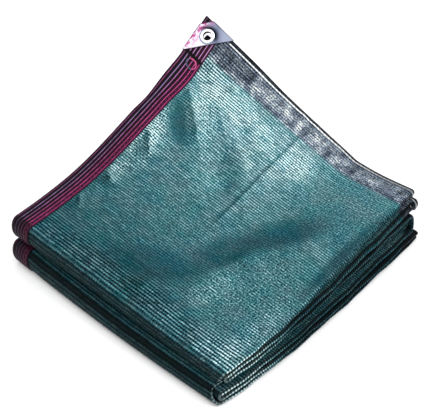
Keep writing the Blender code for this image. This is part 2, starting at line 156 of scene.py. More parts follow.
MM = 0.001
STACK_X = -0.66 * MM             # middle between the fold lines, in the row's frame
STACK_Y = 1.58 * MM
FOLDED = 0.400
X_OPEN = FOLDED / 2
X_BOUND = -FOLDED / 2
Y_SELVEDGE = FOLDED / 2
SHEET = 1.3 * MM
TAPE_WIDTH = 35 * MM
TAPE_STEP = 1.3 * MM             # how far the binding's thickness lifts the sheets over it
STEP_FROM, STEP_FADE = 2 * MM, 28 * MM
PANELS = 4
PLIES = 4
LIFT_FROM = 0.28                 # share of the way to the binding where the corner's lift begins
LIFT_POWER_X, LIFT_POWER_Y = 1.1, 2.2

# Distance from each sheet to the next one below, top to bottom, in millimetres, at three
# corners; lift is what it grows by at the raised corner.
SPACING = (
    # upper sheet,  near, left, right, lift
    ("panel 1 ply 1", 4.0, 5.5, 9.5, 31.0),
    ("panel 1 ply 2", 3.0, 4.5, 5.5, 21.0),
    ("panel 1 ply 3", 6.5, 6.0, 15.0, 18.0),
    ("panel 1 ply 4", 2.5, 5.0, 3.5, 4.0),
    ("panel 2 ply 4", 6.5, 5.5, 7.5, 13.0),
    ("panel 2 ply 3", 2.0, 4.0, 3.0, 9.0),
    ("panel 2 ply 2", 2.0, 4.5, 7.0, 9.0),
    ("panel 2 ply 1", 2.0, 5.0, 2.5, 2.0),
    ("panel 3 ply 1", 2.0, 5.5, 5.5, 6.0),
    ("panel 3 ply 2", 2.0, 5.0, 3.0, 4.0),
    ("panel 3 ply 3", 6.5, 6.0, 9.0, 5.0),
    ("panel 3 ply 4", 2.5, 5.0, 2.5, 1.5),
    ("panel 4 ply 4", 6.5, 5.5, 6.0, 2.5),
    ("panel 4 ply 3", 2.5, 4.5, 3.0, 1.0),
    ("panel 4 ply 2", 6.2, 5.5, 5.0, 1.0),
)
NEAR, LEFT, RIGHT, LIFT = 1, 2, 3, 4

# How far the turns at +X stand back in each panel, in millimetres.
TURN_RECESS = (
    # plies 1-2 at -Y, at +Y, plies 3-4 at -Y, at +Y
    (0.5, 11.0, 1.0, 6.0),
    (12.0, 8.0, 2.0, 5.0),
    (11.0, 9.0, 1.0, 5.0),
    (2.0, 2.0, 0.5, 1.0),
)

# Where each panel folds into the next.
PANEL_FOLDS = (
    # Y at -X,  Y at +X,  side,  how far it bows out that way
    (-0.188, -0.184, -1, 0.0),
    (0.184, 0.184, +1, 0.0),
    (-0.195, -0.195, -1, 4.5 * MM),
)

# Broad swells and hollows of the top sheet.
SWELLS = (
    # X,  Y,  reach,  height
    (0.130, 0.200, 0.080, -4.5 * MM),
    (0.020, -0.020, 0.130, -3.5 * MM),
    (-0.080, -0.090, 0.090, 3.0 * MM),
    (-0.200, 0.030, 0.130, 6.0 * MM),
)


def smooth(t):
    t = np.clip(t, 0.0, 1.0)
    return t * t * (3 - 2 * t)


def mix(a, b, t):
    return a + (b - a) * t


def sheet_order(panel, ply):
    """Place of a sheet in the stack, 0 at the top; every second panel is upside down."""
    return panel * PLIES + (ply if panel % 2 == 0 else PLIES - 1 - ply)


def stack_heights(column):
    heights = [0.0]
    for row in reversed(SPACING):
        heights.append(heights[-1] + row[column] * MM)
    return heights[::-1]


HEIGHTS = {column: stack_heights(column) for column in (NEAR, LEFT, RIGHT, LIFT)}


def level(order, x, y):
    """Height of a sheet's middle surface over a place in plan."""
    across = (X_OPEN - x) / FOLDED
    along = (y + FOLDED / 2) / FOLDED
    low_side = mix(HEIGHTS[NEAR][order], HEIGHTS[LEFT][order], smooth(across))
    far_side = mix(HEIGHTS[RIGHT][order], HEIGHTS[LEFT][order], smooth(across))
    step = TAPE_STEP * (1 - smooth((x - X_BOUND - TAPE_WIDTH - STEP_FROM) / STEP_FADE))
    toward_binding = np.maximum(across - LIFT_FROM, 0.0) / (1 - LIFT_FROM)
    lift = HEIGHTS[LIFT][order] * toward_binding ** LIFT_POWER_X * np.maximum(along, 0.0) ** LIFT_POWER_Y
    return SHEET / 2 + step + mix(low_side, far_side, smooth(along)) + lift


EYELET_INSET = 18 * MM
SLOPE_STEP = 15 * MM
eyelet_x, eyelet_y = X_BOUND + EYELET_INSET, Y_SELVEDGE - EYELET_INSET
PLANE_Z = float(level(0, eyelet_x, eyelet_y))
PLANE_SLOPE_X = float(level(0, eyelet_x + SLOPE_STEP, eyelet_y)
                      - level(0, eyelet_x - SLOPE_STEP, eyelet_y)) / (2 * SLOPE_STEP)
PLANE_SLOPE_Y = float(level(0, eyelet_x, eyelet_y + SLOPE_STEP)
                      - level(0, eyelet_x, eyelet_y - SLOPE_STEP)) / (2 * SLOPE_STEP)


def plane_height(x, y):
    """Height of the plane that the corner plate holds the raised corner in."""
    return PLANE_Z + PLANE_SLOPE_X * (x - eyelet_x) + PLANE_SLOPE_Y * (y - eyelet_y)


# Creases of the top sheet: each is a ridge, or a trough where its height is negative,
# along a straight line, with its own width on either side. Left and right are as seen
# from its first end. A crest of sharpness 1 is a soft round one, and of 0.5 a folded one.
CREASES = (
    # first end X, Y,  last end X, Y,  left width,  right width,  height, in millimetres,  sharpness
    ("press crease", 12, 192, 17, -10, 9.0, 4.0, 1.7, 0.5),
    ("press crease's trough", 7, 180, 11, 0, 5.0, 4.0, -0.4, 1),
    ("ridge from the plate", -168, 123, -86, 60, 24.0, 26.0, 6.0, 0.5),
    ("dip beside that ridge", -168, 92, -108, 46, 14.0, 14.0, -0.8, 1),
    ("ridge above it", -150, 150, -60, 90, 16.0, 22.0, 3.0, 0.5),
    ("wrinkle at the binding", -172, 35, -148, 24, 9.0, 4.5, 4.2, 0.5),
    ("its tail", -152, 28, -134, 6, 8.0, 4.0, 3.2, 0.5),
    ("second wrinkle", -170, -49, -144, -58, 7.0, 4.0, 4.0, 0.5),
    ("third wrinkle", -170, -96, -148, -118, 6.0, 4.0, 2.8, 0.5),
    ("edge of the long hollow", 150, 45, 96, -34, 42.0, 16.0, 3.6, 1),
    ("its lower part", 98, -30, 72, -100, 42.0, 14.0, 3.8, 1),
    ("its end", 73, -95, 10, -165, 40.0, 16.0, 3.0, 1),
    ("low ridge across the middle", 95, 27, 30, 12, 10.0, 5.0, 0.8, 1),
    ("shallow fold", -100, -134, 40, -131, 6.0, 4.0, 0.7, 1),
    ("hollow by the press crease", -62, 60, -10, 30, 22.0, 22.0, -2.6, 1),
    ("fan from the plate", -120, 160, -20, 118, 10.0, 14.0, 1.6, 1),
    ("second fan", -95, 128, -5, 70, 10.0, 16.0, 1.8, 1),
    ("hem pucker", -8, 197, -4, 168, 6.0, 5.0, 1.3, 1),
    ("hem pucker 2", 62, 197, 58, 165, 9.0, 6.0, 1.2, 1),
    ("hem pucker 3", -95, 197, -90, 170, 7.0, 6.0, 0.9, 1),
)
CREASE_END_FADE = 0.22           # share of its own length over which a crease runs out
CREASE_FADE_BOUND = 8 * MM       # creases start this far from the binding
CREASE_FADE_OPEN = 30 * MM

# Beside the plate the sheet is plane. Below it, the bound edge bows up a little.
PLATE_FLAT, PLATE_FADE = 90 * MM, 70 * MM
EDGE_BOW, EDGE_BOW_Y, EDGE_BOW_REACH = 6.5 * MM, 98 * MM, 48 * MM


def crease_relief(x, y):
    total = np.zeros_like(x)
    for _, x0, y0, x1, y1, left_width, right_width, height, sharpness in CREASES:
        run = np.hypot(x1 - x0, y1 - y0) * MM
        ux, uy = (x1 - x0) * MM / run, (y1 - y0) * MM / run
        along = (x - x0 * MM) * ux + (y - y0 * MM) * uy
        aside = (y - y0 * MM) * ux - (x - x0 * MM) * uy
        width = np.where(aside > 0, left_width, right_width) * MM
        fade = CREASE_END_FADE * run
        ends = smooth((along + fade) / (2 * fade)) * smooth((run + fade - along) / (2 * fade))
        total += height * MM * np.exp(-np.abs(aside / width) ** (2 * sharpness)) * ends
    return total


def off_binding(x):
    """0 under the binding, 1 clear of it."""
    return smooth((x - X_BOUND - TAPE_WIDTH) / CREASE_FADE_BOUND)


def sheet_height(order, x, y):
    """Height of a sheet; the top one swells, creases and bows, and is plane under the plate."""
    z = level(order, x, y)
    if order > 0:
        return z
    for centre_x, centre_y, reach, height in SWELLS:
        z = z + height * (1 - smooth(np.hypot(x - centre_x, y - centre_y) / reach))
    z = z + crease_relief(x, y) * off_binding(x) * smooth((X_OPEN - x) / CREASE_FADE_OPEN)
    from_corner = (x - X_BOUND) + (Y_SELVEDGE - y)
    z = mix(plane_height(x, y), z, smooth((from_corner - PLATE_FLAT) / PLATE_FADE))
    return z + EDGE_BOW * (1 - smooth(np.hypot(x - X_BOUND, y - EDGE_BOW_Y) / EDGE_BOW_REACH))


def fold_line(panel, x):
    at_bound, at_open, side, bow = PANEL_FOLDS[panel]
    across = np.clip((X_OPEN - x) / FOLDED, 0.0, 1.0)
    return mix(at_open, at_bound, across) + side * bow * np.sin(math.pi * across)


def run_y(panel, x, share):
    """Y of a place on a panel's straight run, from its first edge or fold to its last."""
    start = Y_SELVEDGE if panel == 0 else fold_line(panel - 1, x)
    end = Y_SELVEDGE if panel == PANELS - 1 else fold_line(panel, x)
    return mix(start, end, share)


# Folds and turns: each ply's fold lies round the one inside it. A turn is a half round up to
# ROUND_TURN, and grows more slowly than its height past that.
NEST = 2.6 * MM
NEST_GROWTH = 0.5
ROUND_TURN = 3.0 * MM
TURN_GROWTH = 0.45


def fold_reach(panel, ply, x):
    """How far a ply's fold between two panels reaches past the fold line."""
    line = fold_line(panel, x)
    reach, last_half = 0.0, None
    for nested in (range(PLIES - 1, -1, -1) if PANEL_FOLDS[panel][2] < 0 else range(PLIES)):
        half = (level(sheet_order(panel, nested), x, line)
                - level(sheet_order(panel + 1, nested), x, line)) / 2
        if last_half is None:
            reach = np.minimum(half, ROUND_TURN)
        else:
            reach = reach + np.maximum(NEST, NEST_GROWTH * (half - last_half))
        last_half = half
        if nested == ply:
            return reach


# Stations along the zigzag of panels, as (kind, panel, values), and columns along the
# zigzag of plies. The top sheet has the finest grid.
TOP_SPANS = 104
SPANS = 22
FOLD_SPANS = 12
TURN_SPANS = 10


def even(count, first):
    """Even shares from 0 to 1, with the first or without it."""
    values = np.linspace(0.0, 1.0, count + 1)
    return values if first else values[1:]


STATION_BLOCKS = []
for panel in range(PANELS):
    if panel > 0:
        STATION_BLOCKS.append(("fold", panel - 1, math.pi * even(FOLD_SPANS, False)))
    STATION_BLOCKS.append(("run", panel, even(TOP_SPANS if panel == 0 else SPANS, panel == 0)))
STATION_COUNT = sum(len(values) for _, _, values in STATION_BLOCKS)


def ply_path(ply, x):
    """Points of a ply's middle surface at every station, for X as one number or one per station."""
    x = np.broadcast_to(np.asarray(x, float), (STATION_COUNT,))
    points = np.empty((STATION_COUNT, 3))
    at = 0
    for kind, panel, values in STATION_BLOCKS:
        here = slice(at, at + len(values))
        xs = x[here]
        if kind == "run":
            y = run_y(panel, xs, values)
            z = sheet_height(sheet_order(panel, ply), xs, y)
        else:
            line = fold_line(panel, xs)
            upper = sheet_height(sheet_order(panel, ply), xs, line)
            lower = sheet_height(sheet_order(panel + 1, ply), xs, line)
            y = line + PANEL_FOLDS[panel][2] * fold_reach(panel, ply, xs) * np.sin(values)
            z = (upper + lower) / 2 + (upper - lower) / 2 * np.cos(values)
        points[here] = np.stack([xs, y, z], -1)
        at += len(values)
    return points


TURN_BULGE = 10 * MM             # how far the open side bulges, most between its ends
BULGE_POWER = 0.7
TURN_SLACK = 0.8 * MM            # how far it wavers, in one long wave and one short one
LONG_WAVE, SHORT_WAVE = 23, 51   # their angles over the whole side, in radians


def open_turn_line(first_ply):
    """X at which plies 1-2 or 3-4 start to turn into each other, at every station."""
    low, high = first_ply, first_ply + 1
    lines = []
    for kind, panel, values in STATION_BLOCKS:
        if kind == "run":
            along = (run_y(panel, X_OPEN, values) + FOLDED / 2) / FOLDED
            recess = mix(TURN_RECESS[panel][low], TURN_RECESS[panel][high], smooth(along))
        else:
            end = low if PANEL_FOLDS[panel][2] < 0 else high
            along = np.full(len(values), (fold_line(panel, X_OPEN) + FOLDED / 2) / FOLDED)
            recess = mix(TURN_RECESS[panel][end], TURN_RECESS[panel + 1][end], smooth(values / math.pi))
        along = np.maximum(along, 0.0)
        slack = (0.9 * np.sin(along * LONG_WAVE + 2.1 * panel + first_ply)
                 + 0.6 * np.sin(along * SHORT_WAVE + panel))
        bulge = TURN_BULGE * np.sin(math.pi * along ** BULGE_POWER)
        lines.append(X_OPEN - ROUND_TURN - recess * MM + bulge + slack * TURN_SLACK)
    return np.concatenate(lines)


OPEN_LINES = {0: open_turn_line(0), 2: open_turn_line(2)}

columns = []
for ply in range(PLIES):
    if ply > 0:
        turn_x = X_BOUND if ply == 2 else OPEN_LINES[ply - 1]
        upper, lower = ply_path(ply - 1, turn_x), ply_path(ply, turn_x)
        half = (upper - lower) / 2
        length = np.linalg.norm(half, axis=1)
        reach = np.minimum(length, ROUND_TURN) + TURN_GROWTH * np.maximum(length - ROUND_TURN, 0.0)
        outward = -1 if ply == 2 else 1
        for angle in math.pi * even(TURN_SPANS, False):
            column = (upper + lower) / 2 + half * math.cos(angle)
            column[:, 0] += outward * reach * math.sin(angle)
            columns.append(column)
    for share in even(TOP_SPANS if ply == 0 else SPANS, ply == 0):
        open_x = OPEN_LINES[0 if ply < 2 else 2]
        columns.append(ply_path(ply, mix(X_BOUND, open_x, share if ply % 2 == 0 else 1 - share)))


def unit(vectors):
    return vectors / np.linalg.norm(vectors, axis=-1, keepdims=True)


def grid_normals(points):
    """Unit normals of the outer face of a sheet, from its grid of points."""
    return unit(np.cross(np.gradient(points, axis=0), np.gradient(points, axis=1)))


# Cloth points by station and column, and the normals of the net's outer face.
cloth = np.stack(columns, axis=1)
normals = grid_normals(cloth)


def on_cloth(row, col):
    """Points and outer normals of the cloth at fractional places in its grid."""
    row, col = np.broadcast_arrays(np.asarray(row, float), np.asarray(col, float))
    row0 = np.clip(row.astype(int), 0, cloth.shape[0] - 2)
    col0 = np.clip(col.astype(int), 0, cloth.shape[1] - 2)
    down, over = (row - row0)[..., None], (col - col0)[..., None]
    found = []
    for grid in (cloth, normals):
        first = mix(grid[row0, col0], grid[row0, col0 + 1], over)
        found.append(mix(first, mix(grid[row0 + 1, col0], grid[row0 + 1, col0 + 1], over), down))
    return found[0], unit(found[1])


# Which panel and ply each grid line belongs to, and its angle where it is in a fold or turn.
station_panel, station_angle = [], []
for kind, panel, values in STATION_BLOCKS:
    station_panel += [panel] * len(values)
    station_angle += list(values) if kind == "fold" else [-1.0] * len(values)
column_ply, column_angle = [], []
for ply in range(PLIES):
    if ply > 0:
        column_ply += [ply - 1] * TURN_SPANS
        column_angle += list(math.pi * even(TURN_SPANS, False))
    count = len(even(TOP_SPANS if ply == 0 else SPANS, ply == 0))
    column_ply += [ply] * count
    column_angle += [-1.0] * count
station_panel, station_angle = np.array(station_panel)[:, None], np.array(station_angle)[:, None]
column_ply, column_angle = np.array(column_ply)[None, :], np.array(column_angle)[None, :]
in_fold, in_turn = station_angle >= 0, column_angle >= 0
near_top = (station_panel == 0) & (column_ply == 0)
on_top = near_top & ~in_fold & ~in_turn

# How pale the thread looks, from 0 to 1, down the top sheet: its tone, with a painted gradient
# of light in it, paler and shinier towards the plate and duller towards the folds at -Y.
TONE_AND_LIGHT_FALL = (
    # Y in millimetres,  tone by the binding,  tone by the open side
    (-200, 0.30, 0.34),
    (-150, 0.29, 0.39),
    (-100, 0.36, 0.41),
    (-50, 0.41, 0.40),
    (0, 0.45, 0.40),
    (50, 0.50, 0.40),
    (100, 0.58, 0.43),
    (140, 0.63, 0.46),
    (200, 0.60, 0.50),
)
TONE_OPEN_FROM, TONE_OPEN_FADE = 20, 100         # X where the open side's tones begin, and their fade

# Where the thread is paler or duller than that, its rows clearer or its speckle stronger.
# Much of it is painted light and shade: the lit and shaded faces of ridges and hollows, and
# painted highlights such as the pale streak along the hem; the rest is the thread's own unevenness.
PATCHES = (
    # centre X, Y,  half length,  half width, millimetres;  turn in degrees;  tone, rows, speckle
    ("pale under the hem", -50, 134, 120, 22, -2, 0.09, 0.15, 0.0),
    ("pale face by the ridge", -114, 106, 46, 16, -37, 0.10, 0.0, 0.3),
    ("dull face by the ridge", -138, 68, 42, 15, -37, -0.16, -0.55, -0.1),
    ("paler at the binding", -160, 40, 15, 50, 0, 0.13, 0.1, 0.5),
    ("paler at the binding 2", -148, 10, 24, 50, 0, 0.10, 0.15, 0.5),
    ("dull at the binding", -158, -112, 18, 30, 0, -0.04, -0.1, 0.0),
    ("right of the press crease", 42, 128, 26, 26, 0, 0.12, 0.1, 0.3),
    ("hollow's shine", 0, 98, 60, 22, 10, 0.03, 0.1, 0.0),
    ("upper right", 146, 112, 80, 74, 0, -0.01, -0.48, 0.35),
    ("long hollow", 106, 32, 62, 28, 52, -0.13, -0.4, 0.1),
    ("long hollow, middle", 64, -40, 50, 26, 62, -0.13, -0.45, 0.0),
    ("long hollow, end", 10, -120, 74, 30, 24, -0.08, -0.3, 0.0),
    ("smooth middle", -30, -60, 100, 60, 0, 0.0, -0.15, 0.15),
    ("speckled corner", 140, -70, 74, 80, 0, 0.0, -0.35, 0.55),
    ("speckled corner's edge", 96, -100, 20, 44, -20, 0.07, 0.0, 0.4),
    ("open side", 186, -110, 16, 60, 0, 0.07, 0.3, 0.6),
    ("dull between wrinkles", -152, 8, 8, 26, 10, -0.14, -0.3, 0.2),
    ("dull by the second wrinkle", -150, -66, 22, 9, 0, -0.10, -0.2, 0.2),
    ("pale by the second wrinkle", -154, -40, 20, 10, -20, 0.08, 0.1, 0.4),
    ("dull edge of the open side", 194, 60, 12, 110, 0, -0.16, -0.35, 0.1),
    ("hem", 60, 184, 230, 22, 0, 0.03, -0.3, 0.2),
    ("pale streak along the hem", 70, 180, 130, 6, -1, 0.09, 0.0, 0.1),
    ("hem by the plate", -128, 184, 46, 24, 0, -0.20, 0.1, 0.2),
    ("rows by the plate", -140, 146, 46, 20, -20, 0.03, 0.5, 0.3),
    ("rows over the fold", 20, -174, 210, 24, 0, -0.06, 0.8, 0.25),
    ("near corner", 176, -170, 40, 30, 0, 0.11, 0.5, 0.4),
)
BASE_ROWS, BASE_SPECKLE = 0.78, 0.48
PATCH_CORE, PATCH_FADE = 0.45, 0.8               # shares of a patch's half size

x_mm, y_mm = cloth[:, :, 0] / MM, cloth[:, :, 1] / MM
fall_y, fall_bound, fall_open = np.array(TONE_AND_LIGHT_FALL).T
tone = mix(np.interp(y_mm, fall_y, fall_bound), np.interp(y_mm, fall_y, fall_open),
           smooth((x_mm - TONE_OPEN_FROM) / TONE_OPEN_FADE))
rows_clear = np.full(tone.shape, BASE_ROWS)
speckle = np.full(tone.shape, BASE_SPECKLE)
for _, patch_x, patch_y, half_length, half_width, turn, more_tone, more_rows, more_speckle in PATCHES:
    cos_turn, sin_turn = math.cos(math.radians(turn)), math.sin(math.radians(turn))
    from_x, from_y = x_mm - patch_x, y_mm - patch_y
    far = np.hypot((from_x * cos_turn + from_y * sin_turn) / half_length,
                   (from_y * cos_turn - from_x * sin_turn) / half_width)
    share = (1 - smooth((far - PATCH_CORE) / PATCH_FADE)) * near_top
    tone += more_tone * share
    rows_clear += more_rows * share
    speckle += more_speckle * share

# Painted light and shade on the creases: the side that faces the key light is painted paler,
# the other side darker.
CREASE_LIT_X, CREASE_LIT_Y = 0.84, 0.54
CREASE_SLOPE_STEP = 1.0 * MM
CREASE_SHADING_GAIN, CREASE_SHADE_DARKEST, CREASE_LIGHT_PALEST = -1.5, -0.42, 0.6
cx, cy = cloth[:, :, 0], cloth[:, :, 1]
slope_x = crease_relief(cx + CREASE_SLOPE_STEP, cy) - crease_relief(cx - CREASE_SLOPE_STEP, cy)
slope_y = crease_relief(cx, cy + CREASE_SLOPE_STEP) - crease_relief(cx, cy - CREASE_SLOPE_STEP)
slope = (CREASE_LIT_X * slope_x + CREASE_LIT_Y * slope_y) / (2 * CREASE_SLOPE_STEP)
tone = tone * (1 + np.clip(CREASE_SHADING_GAIN * slope, CREASE_SHADE_DARKEST, CREASE_LIGHT_PALEST) * near_top * off_binding(cx))

# The sides, in painted light and shade: pale, lit dashes of thread near the near corner, dull
# further back, and painted shade where one lobe lies against the next. Sheets inside the stack
# get painted shade too, but their hems, which show at +Y, get only a little.
OPEN_TONE_NEAR, OPEN_TONE_BACK = 1.0, 0.2
OPEN_TONE_FROM, OPEN_TONE_FADE = 0.03, 0.34      # shares of the way along the open side
NEAR_FOLD_TONE, FAR_FOLD_TONE = 0.30, 0.34
TOP_OF_LOBE = 0.6                # how far up the open side's upper lobe faces where it keeps its tone
TURN_ROWS, TURN_SPECKLE = 1.0, 0.5
LOBE_DARK, LOBE_FROM, LOBE_FADE = 0.96, 0.12, 0.42       # dark where a lobe faces up or down
NEAR_DARK, NEAR_FROM, NEAR_FADE = 0.80, 0.97, 0.55       # and, at -Y, where it turns from up
FAR_DARK, INSIDE_DARK, HEM_DARK = 0.72, 0.55, 0.1
HEM_FROM_Y = 172                 # millimetres

near_folds = in_fold & (station_panel % 2 == 0)
far_folds = in_fold & (station_panel % 2 == 1)
bound_turn, open_turn = in_turn & (column_ply == 1), in_turn & (column_ply != 1)
inward = np.where(in_fold, far_folds, bound_turn)
faces_up = normals[:, :, 2] * np.where(inward, -1.0, 1.0)
from_near = smooth(((cy + FOLDED / 2) / FOLDED - OPEN_TONE_FROM) / OPEN_TONE_FADE)
keeps_tone = near_top & (faces_up > TOP_OF_LOBE)
tone = np.where(open_turn & ~keeps_tone, mix(OPEN_TONE_NEAR, OPEN_TONE_BACK, from_near), tone)
tone = np.where(near_folds & ~in_turn, NEAR_FOLD_TONE, tone)
tone = np.where(far_folds | bound_turn, FAR_FOLD_TONE, tone)
rows_clear = np.where(in_fold | in_turn, TURN_ROWS, rows_clear)
speckle = np.where(open_turn, TURN_SPECKLE, speckle)
lobe_dark = LOBE_DARK * smooth((np.abs(faces_up) - LOBE_FROM) / LOBE_FADE)
lobe_dark = np.where(near_top & (faces_up > 0), 0.0, lobe_dark)
near_dark = NEAR_DARK * smooth((NEAR_FROM - faces_up) / NEAR_FADE)
lobe_dark = np.where(near_folds, np.maximum(lobe_dark, near_dark), lobe_dark)
lobe_dark = np.where(far_folds, np.maximum(lobe_dark, FAR_DARK), lobe_dark)
shade = np.where(in_fold | in_turn, lobe_dark, np.where(on_top, 0.0, INSIDE_DARK))
shade = np.where(~in_fold & ~in_turn & (y_mm > HEM_FROM_Y), HEM_DARK, shade)

# The hem: both selvedges are turned under once, and stitched down along the turned edge.
HEM_WIDTH = 38 * MM
HEM_TURN = 0.5 * MM              # radius of the turned edge
HEM_TURN_SPANS = 4


def turned_hem(edge_row, step):
    """Rows of the turned-under layer, from its inner edge out to the selvedge."""
    lines = cloth if step > 0 else cloth[::-1]
    run = np.linalg.norm(np.diff(lines, axis=0), axis=2).mean(1)
    reach = int(np.searchsorted(np.cumsum(run), HEM_WIDTH)) + 1
    rows = [edge_row + step * i for i in range(reach, -1, -1)]
    layer = [cloth[row] - normals[row] * 2 * HEM_TURN for row in rows]
    outward = unit(cloth[edge_row] - cloth[edge_row + step])
    for i in range(1, HEM_TURN_SPANS):
        angle = math.pi * (1 - i / HEM_TURN_SPANS)
        layer.append(cloth[edge_row] + outward * HEM_TURN * math.sin(angle)
                     - normals[edge_row] * HEM_TURN * (1 - math.cos(angle)))
    return layer, rows + [edge_row] * (HEM_TURN_SPANS - 1)


first_hem, first_rows = turned_hem(0, 1)
last_hem, last_rows = turned_hem(STATION_COUNT - 1, -1)
net_points = np.concatenate([np.array(first_hem), cloth, np.array(last_hem[::-1])])
source_rows = first_rows + list(range(STATION_COUNT)) + last_rows[::-1]

# The cloth's own lengths: U along the rows of stitches, V across them, both in metres. V
# counts rows, which lie wider apart where the cloth is drawn round the folds at -Y.
ROW_PITCH = 3.75 * MM            # a coarse knit's rows; its single loops are too fine to show
WIDEST_PITCH = 5.0 * MM
WIDE_ROWS_REACH = 85 * MM


def run_lengths(steps):
    """Distance along a line from its start to each of its points, from its steps."""
    return np.concatenate([[0.0], np.cumsum(steps)])


u_flat = run_lengths(np.linalg.norm(np.diff(net_points, axis=1), axis=2).mean(0))
v_steps = np.linalg.norm(np.diff(net_points, axis=0), axis=2).mean(1)
near_fold = 1 - smooth((net_points[:, :, 1].mean(1) + FOLDED / 2) / WIDE_ROWS_REACH)
pitch_here = mix(ROW_PITCH, WIDEST_PITCH, near_fold)
pitch_here = (pitch_here[1:] + pitch_here[:-1]) / 2
v_rows = run_lengths(v_steps * ROW_PITCH / pitch_here)
v_rows -= v_rows[len(first_rows)]
V_LAST = float(v_rows[len(first_rows) + STATION_COUNT - 1])
THREAD_LAYER = 0.5 * MM


def placed(points):
    """Points of a mesh as a list, moved from the stack's own middle into the frame."""
    return (points.reshape(-1, 3) + np.array((STACK_X, STACK_Y, 0.0))).tolist()


def shell_mesh(name, outer, inner, uv_outer, attributes, left_out):
    """A closed sheet between two grids of points, with a UV map in metres and named attributes.

    Squares left out are a hole. Every open edge gets a wall from the outer face to the inner.
    """
    rows, cols = outer.shape[:2]
    far = rows * cols
    index = np.arange(far).reshape(rows, cols)
    quads = np.stack([index[:-1, :-1], index[1:, :-1], index[1:, 1:], index[:-1, 1:]], -1)[~left_out]
    edges = np.concatenate([np.stack([quads[:, i], quads[:, (i + 1) % 4]], -1) for i in range(4)])
    shared = np.isin(edges[:, 0] * far + edges[:, 1], edges[:, 1] * far + edges[:, 0])
    start, end = edges[~shared].T
    wall = np.stack([end, start, start + far, end + far], -1)
    faces = np.concatenate([quads, quads[:, ::-1] + far, wall])
    mesh = bpy.data.meshes.new(name)
    mesh.from_pydata(placed(np.stack([outer, inner])), [], faces.tolist())
    uv = mesh.uv_layers.new(name="cloth")
    flat = np.tile(uv_outer.reshape(-1, 2), (2, 1))
    uv.uv.foreach_set("vector", flat[faces.reshape(-1)].astype(np.float32).reshape(-1))
    for key, values in attributes.items():
        layer = mesh.attributes.new(key, "FLOAT", "POINT")
        layer.data.foreach_set("value", np.tile(values.reshape(-1), 2).astype(np.float32))
    mesh.shade_smooth()
    return add_object(name, mesh)


# The round hole that the eyelet goes through, square to the plane of the corner.
HOLE_RADIUS = 7.1 * MM
HOLE_DEPTH = 4 * MM
corner_normal = unit(np.array((-PLANE_SLOPE_X, -PLANE_SLOPE_Y, 1.0)))
eyelet_centre = np.array((eyelet_x, eyelet_y, PLANE_Z))


def punched(points):
    """Which squares of a sheet's grid the eyelet's hole takes out."""
    offset = points - eyelet_centre
    along_axis = offset @ corner_normal
    off_axis = np.linalg.norm(offset - along_axis[..., None] * corner_normal, axis=-1)
    inside = (off_axis < HOLE_RADIUS) & (np.abs(along_axis) < HOLE_DEPTH)
    return inside[:-1, :-1] | inside[1:, :-1] | inside[1:, 1:] | inside[:-1, 1:]


ROWS_FAINTEST, ROWS_CLEAREST = 0.05, 1.6
half_layer = grid_normals(net_points) * THREAD_LAYER / 2
uv_grid = np.stack(np.broadcast_arrays(u_flat[None, :], v_rows[:, None]), -1)
net = shell_mesh("shade_net_cloth", net_points + half_layer, net_points - half_layer, uv_grid, {
    "tone": tone[source_rows],
    "rows": np.clip(rows_clear, ROWS_FAINTEST, ROWS_CLEAREST)[source_rows],
    "speckle": np.clip(speckle, 0, 1)[source_rows],
    "shade": shade[source_rows],
}, punched(net_points))

# Knitted polyethylene thread: rows of looped thread, with thin thread laid to and fro between
# them, small open holes, and a paler, greyer look where the hem is double. Its shine is painted
# into its colours as painted highlights, so its own gloss is low.
WANDER = 1.1 * MM                # how far a row strays from its line
net_knit, tree, shader = new_material("knitted polyethylene shade net")
uv = node(tree, "ShaderNodeUVMap", {"uv_map": "cloth"})
wander = node(tree, "ShaderNodeTexNoise", Vector=uv, Scale=26.0, Detail=2.0)
wander = node(tree, "ShaderNodeMath", {"operation": "MULTIPLY_ADD"}, i0=wander, i1=2 * WANDER, i2=-WANDER)
flat_place = node(tree, "ShaderNodeSeparateXYZ", Vector=uv)
along, across = flat_place.outputs[0], flat_place.outputs[1]
row = node(tree, "ShaderNodeMath", {"operation": "ADD"}, i0=across, i1=wander)
row = node(tree, "ShaderNodeMath", {"operation": "DIVIDE"}, i0=row, i1=ROW_PITCH)
row_number = node(tree, "ShaderNodeMath", {"operation": "FLOOR"}, i0=row)
row_share = node(tree, "ShaderNodeMath", {"operation": "FRACT"}, i0=row)
from_row = node(tree, "ShaderNodeMath", {"operation": "SUBTRACT"}, i0=row_share, i1=0.5)
from_row = node(tree, "ShaderNodeMath", {"operation": "ABSOLUTE"}, i0=from_row)
row_thread = node(tree, "ShaderNodeMapRange", {"interpolation_type": "SMOOTHSTEP"}, Value=from_row,
                  From_Min=0.36, From_Max=0.12)

# Bunches of loops along each row, each row's moved along by chance, and painted glints: longer
# stretches of a row drawn paler, as if they catch the light.
BUNCH = 4.2 * MM
GLINT = 9.0 * MM
row_chance = node(tree, "ShaderNodeTexWhiteNoise", {"noise_dimensions": "1D"}, W=row_number)
loop = node(tree, "ShaderNodeMath", {"operation": "DIVIDE"}, i0=along, i1=BUNCH)
loop_shift = node(tree, "ShaderNodeMath", {"operation": "MULTIPLY"}, i0=row_chance, i1=0.6)
loop = node(tree, "ShaderNodeMath", {"operation": "ADD"}, i0=loop, i1=loop_shift)
loop_share = node(tree, "ShaderNodeMath", {"operation": "FRACT"}, i0=loop)
from_loop = node(tree, "ShaderNodeMath", {"operation": "SUBTRACT"}, i0=loop_share, i1=0.5)
from_loop = node(tree, "ShaderNodeMath", {"operation": "ABSOLUTE"}, i0=from_loop)
loop_full = node(tree, "ShaderNodeMapRange", Value=from_loop, From_Min=0.5, From_Max=0.25, To_Min=0.68,
                 To_Max=1.0)
glint = node(tree, "ShaderNodeMath", {"operation": "DIVIDE"}, i0=along, i1=GLINT)
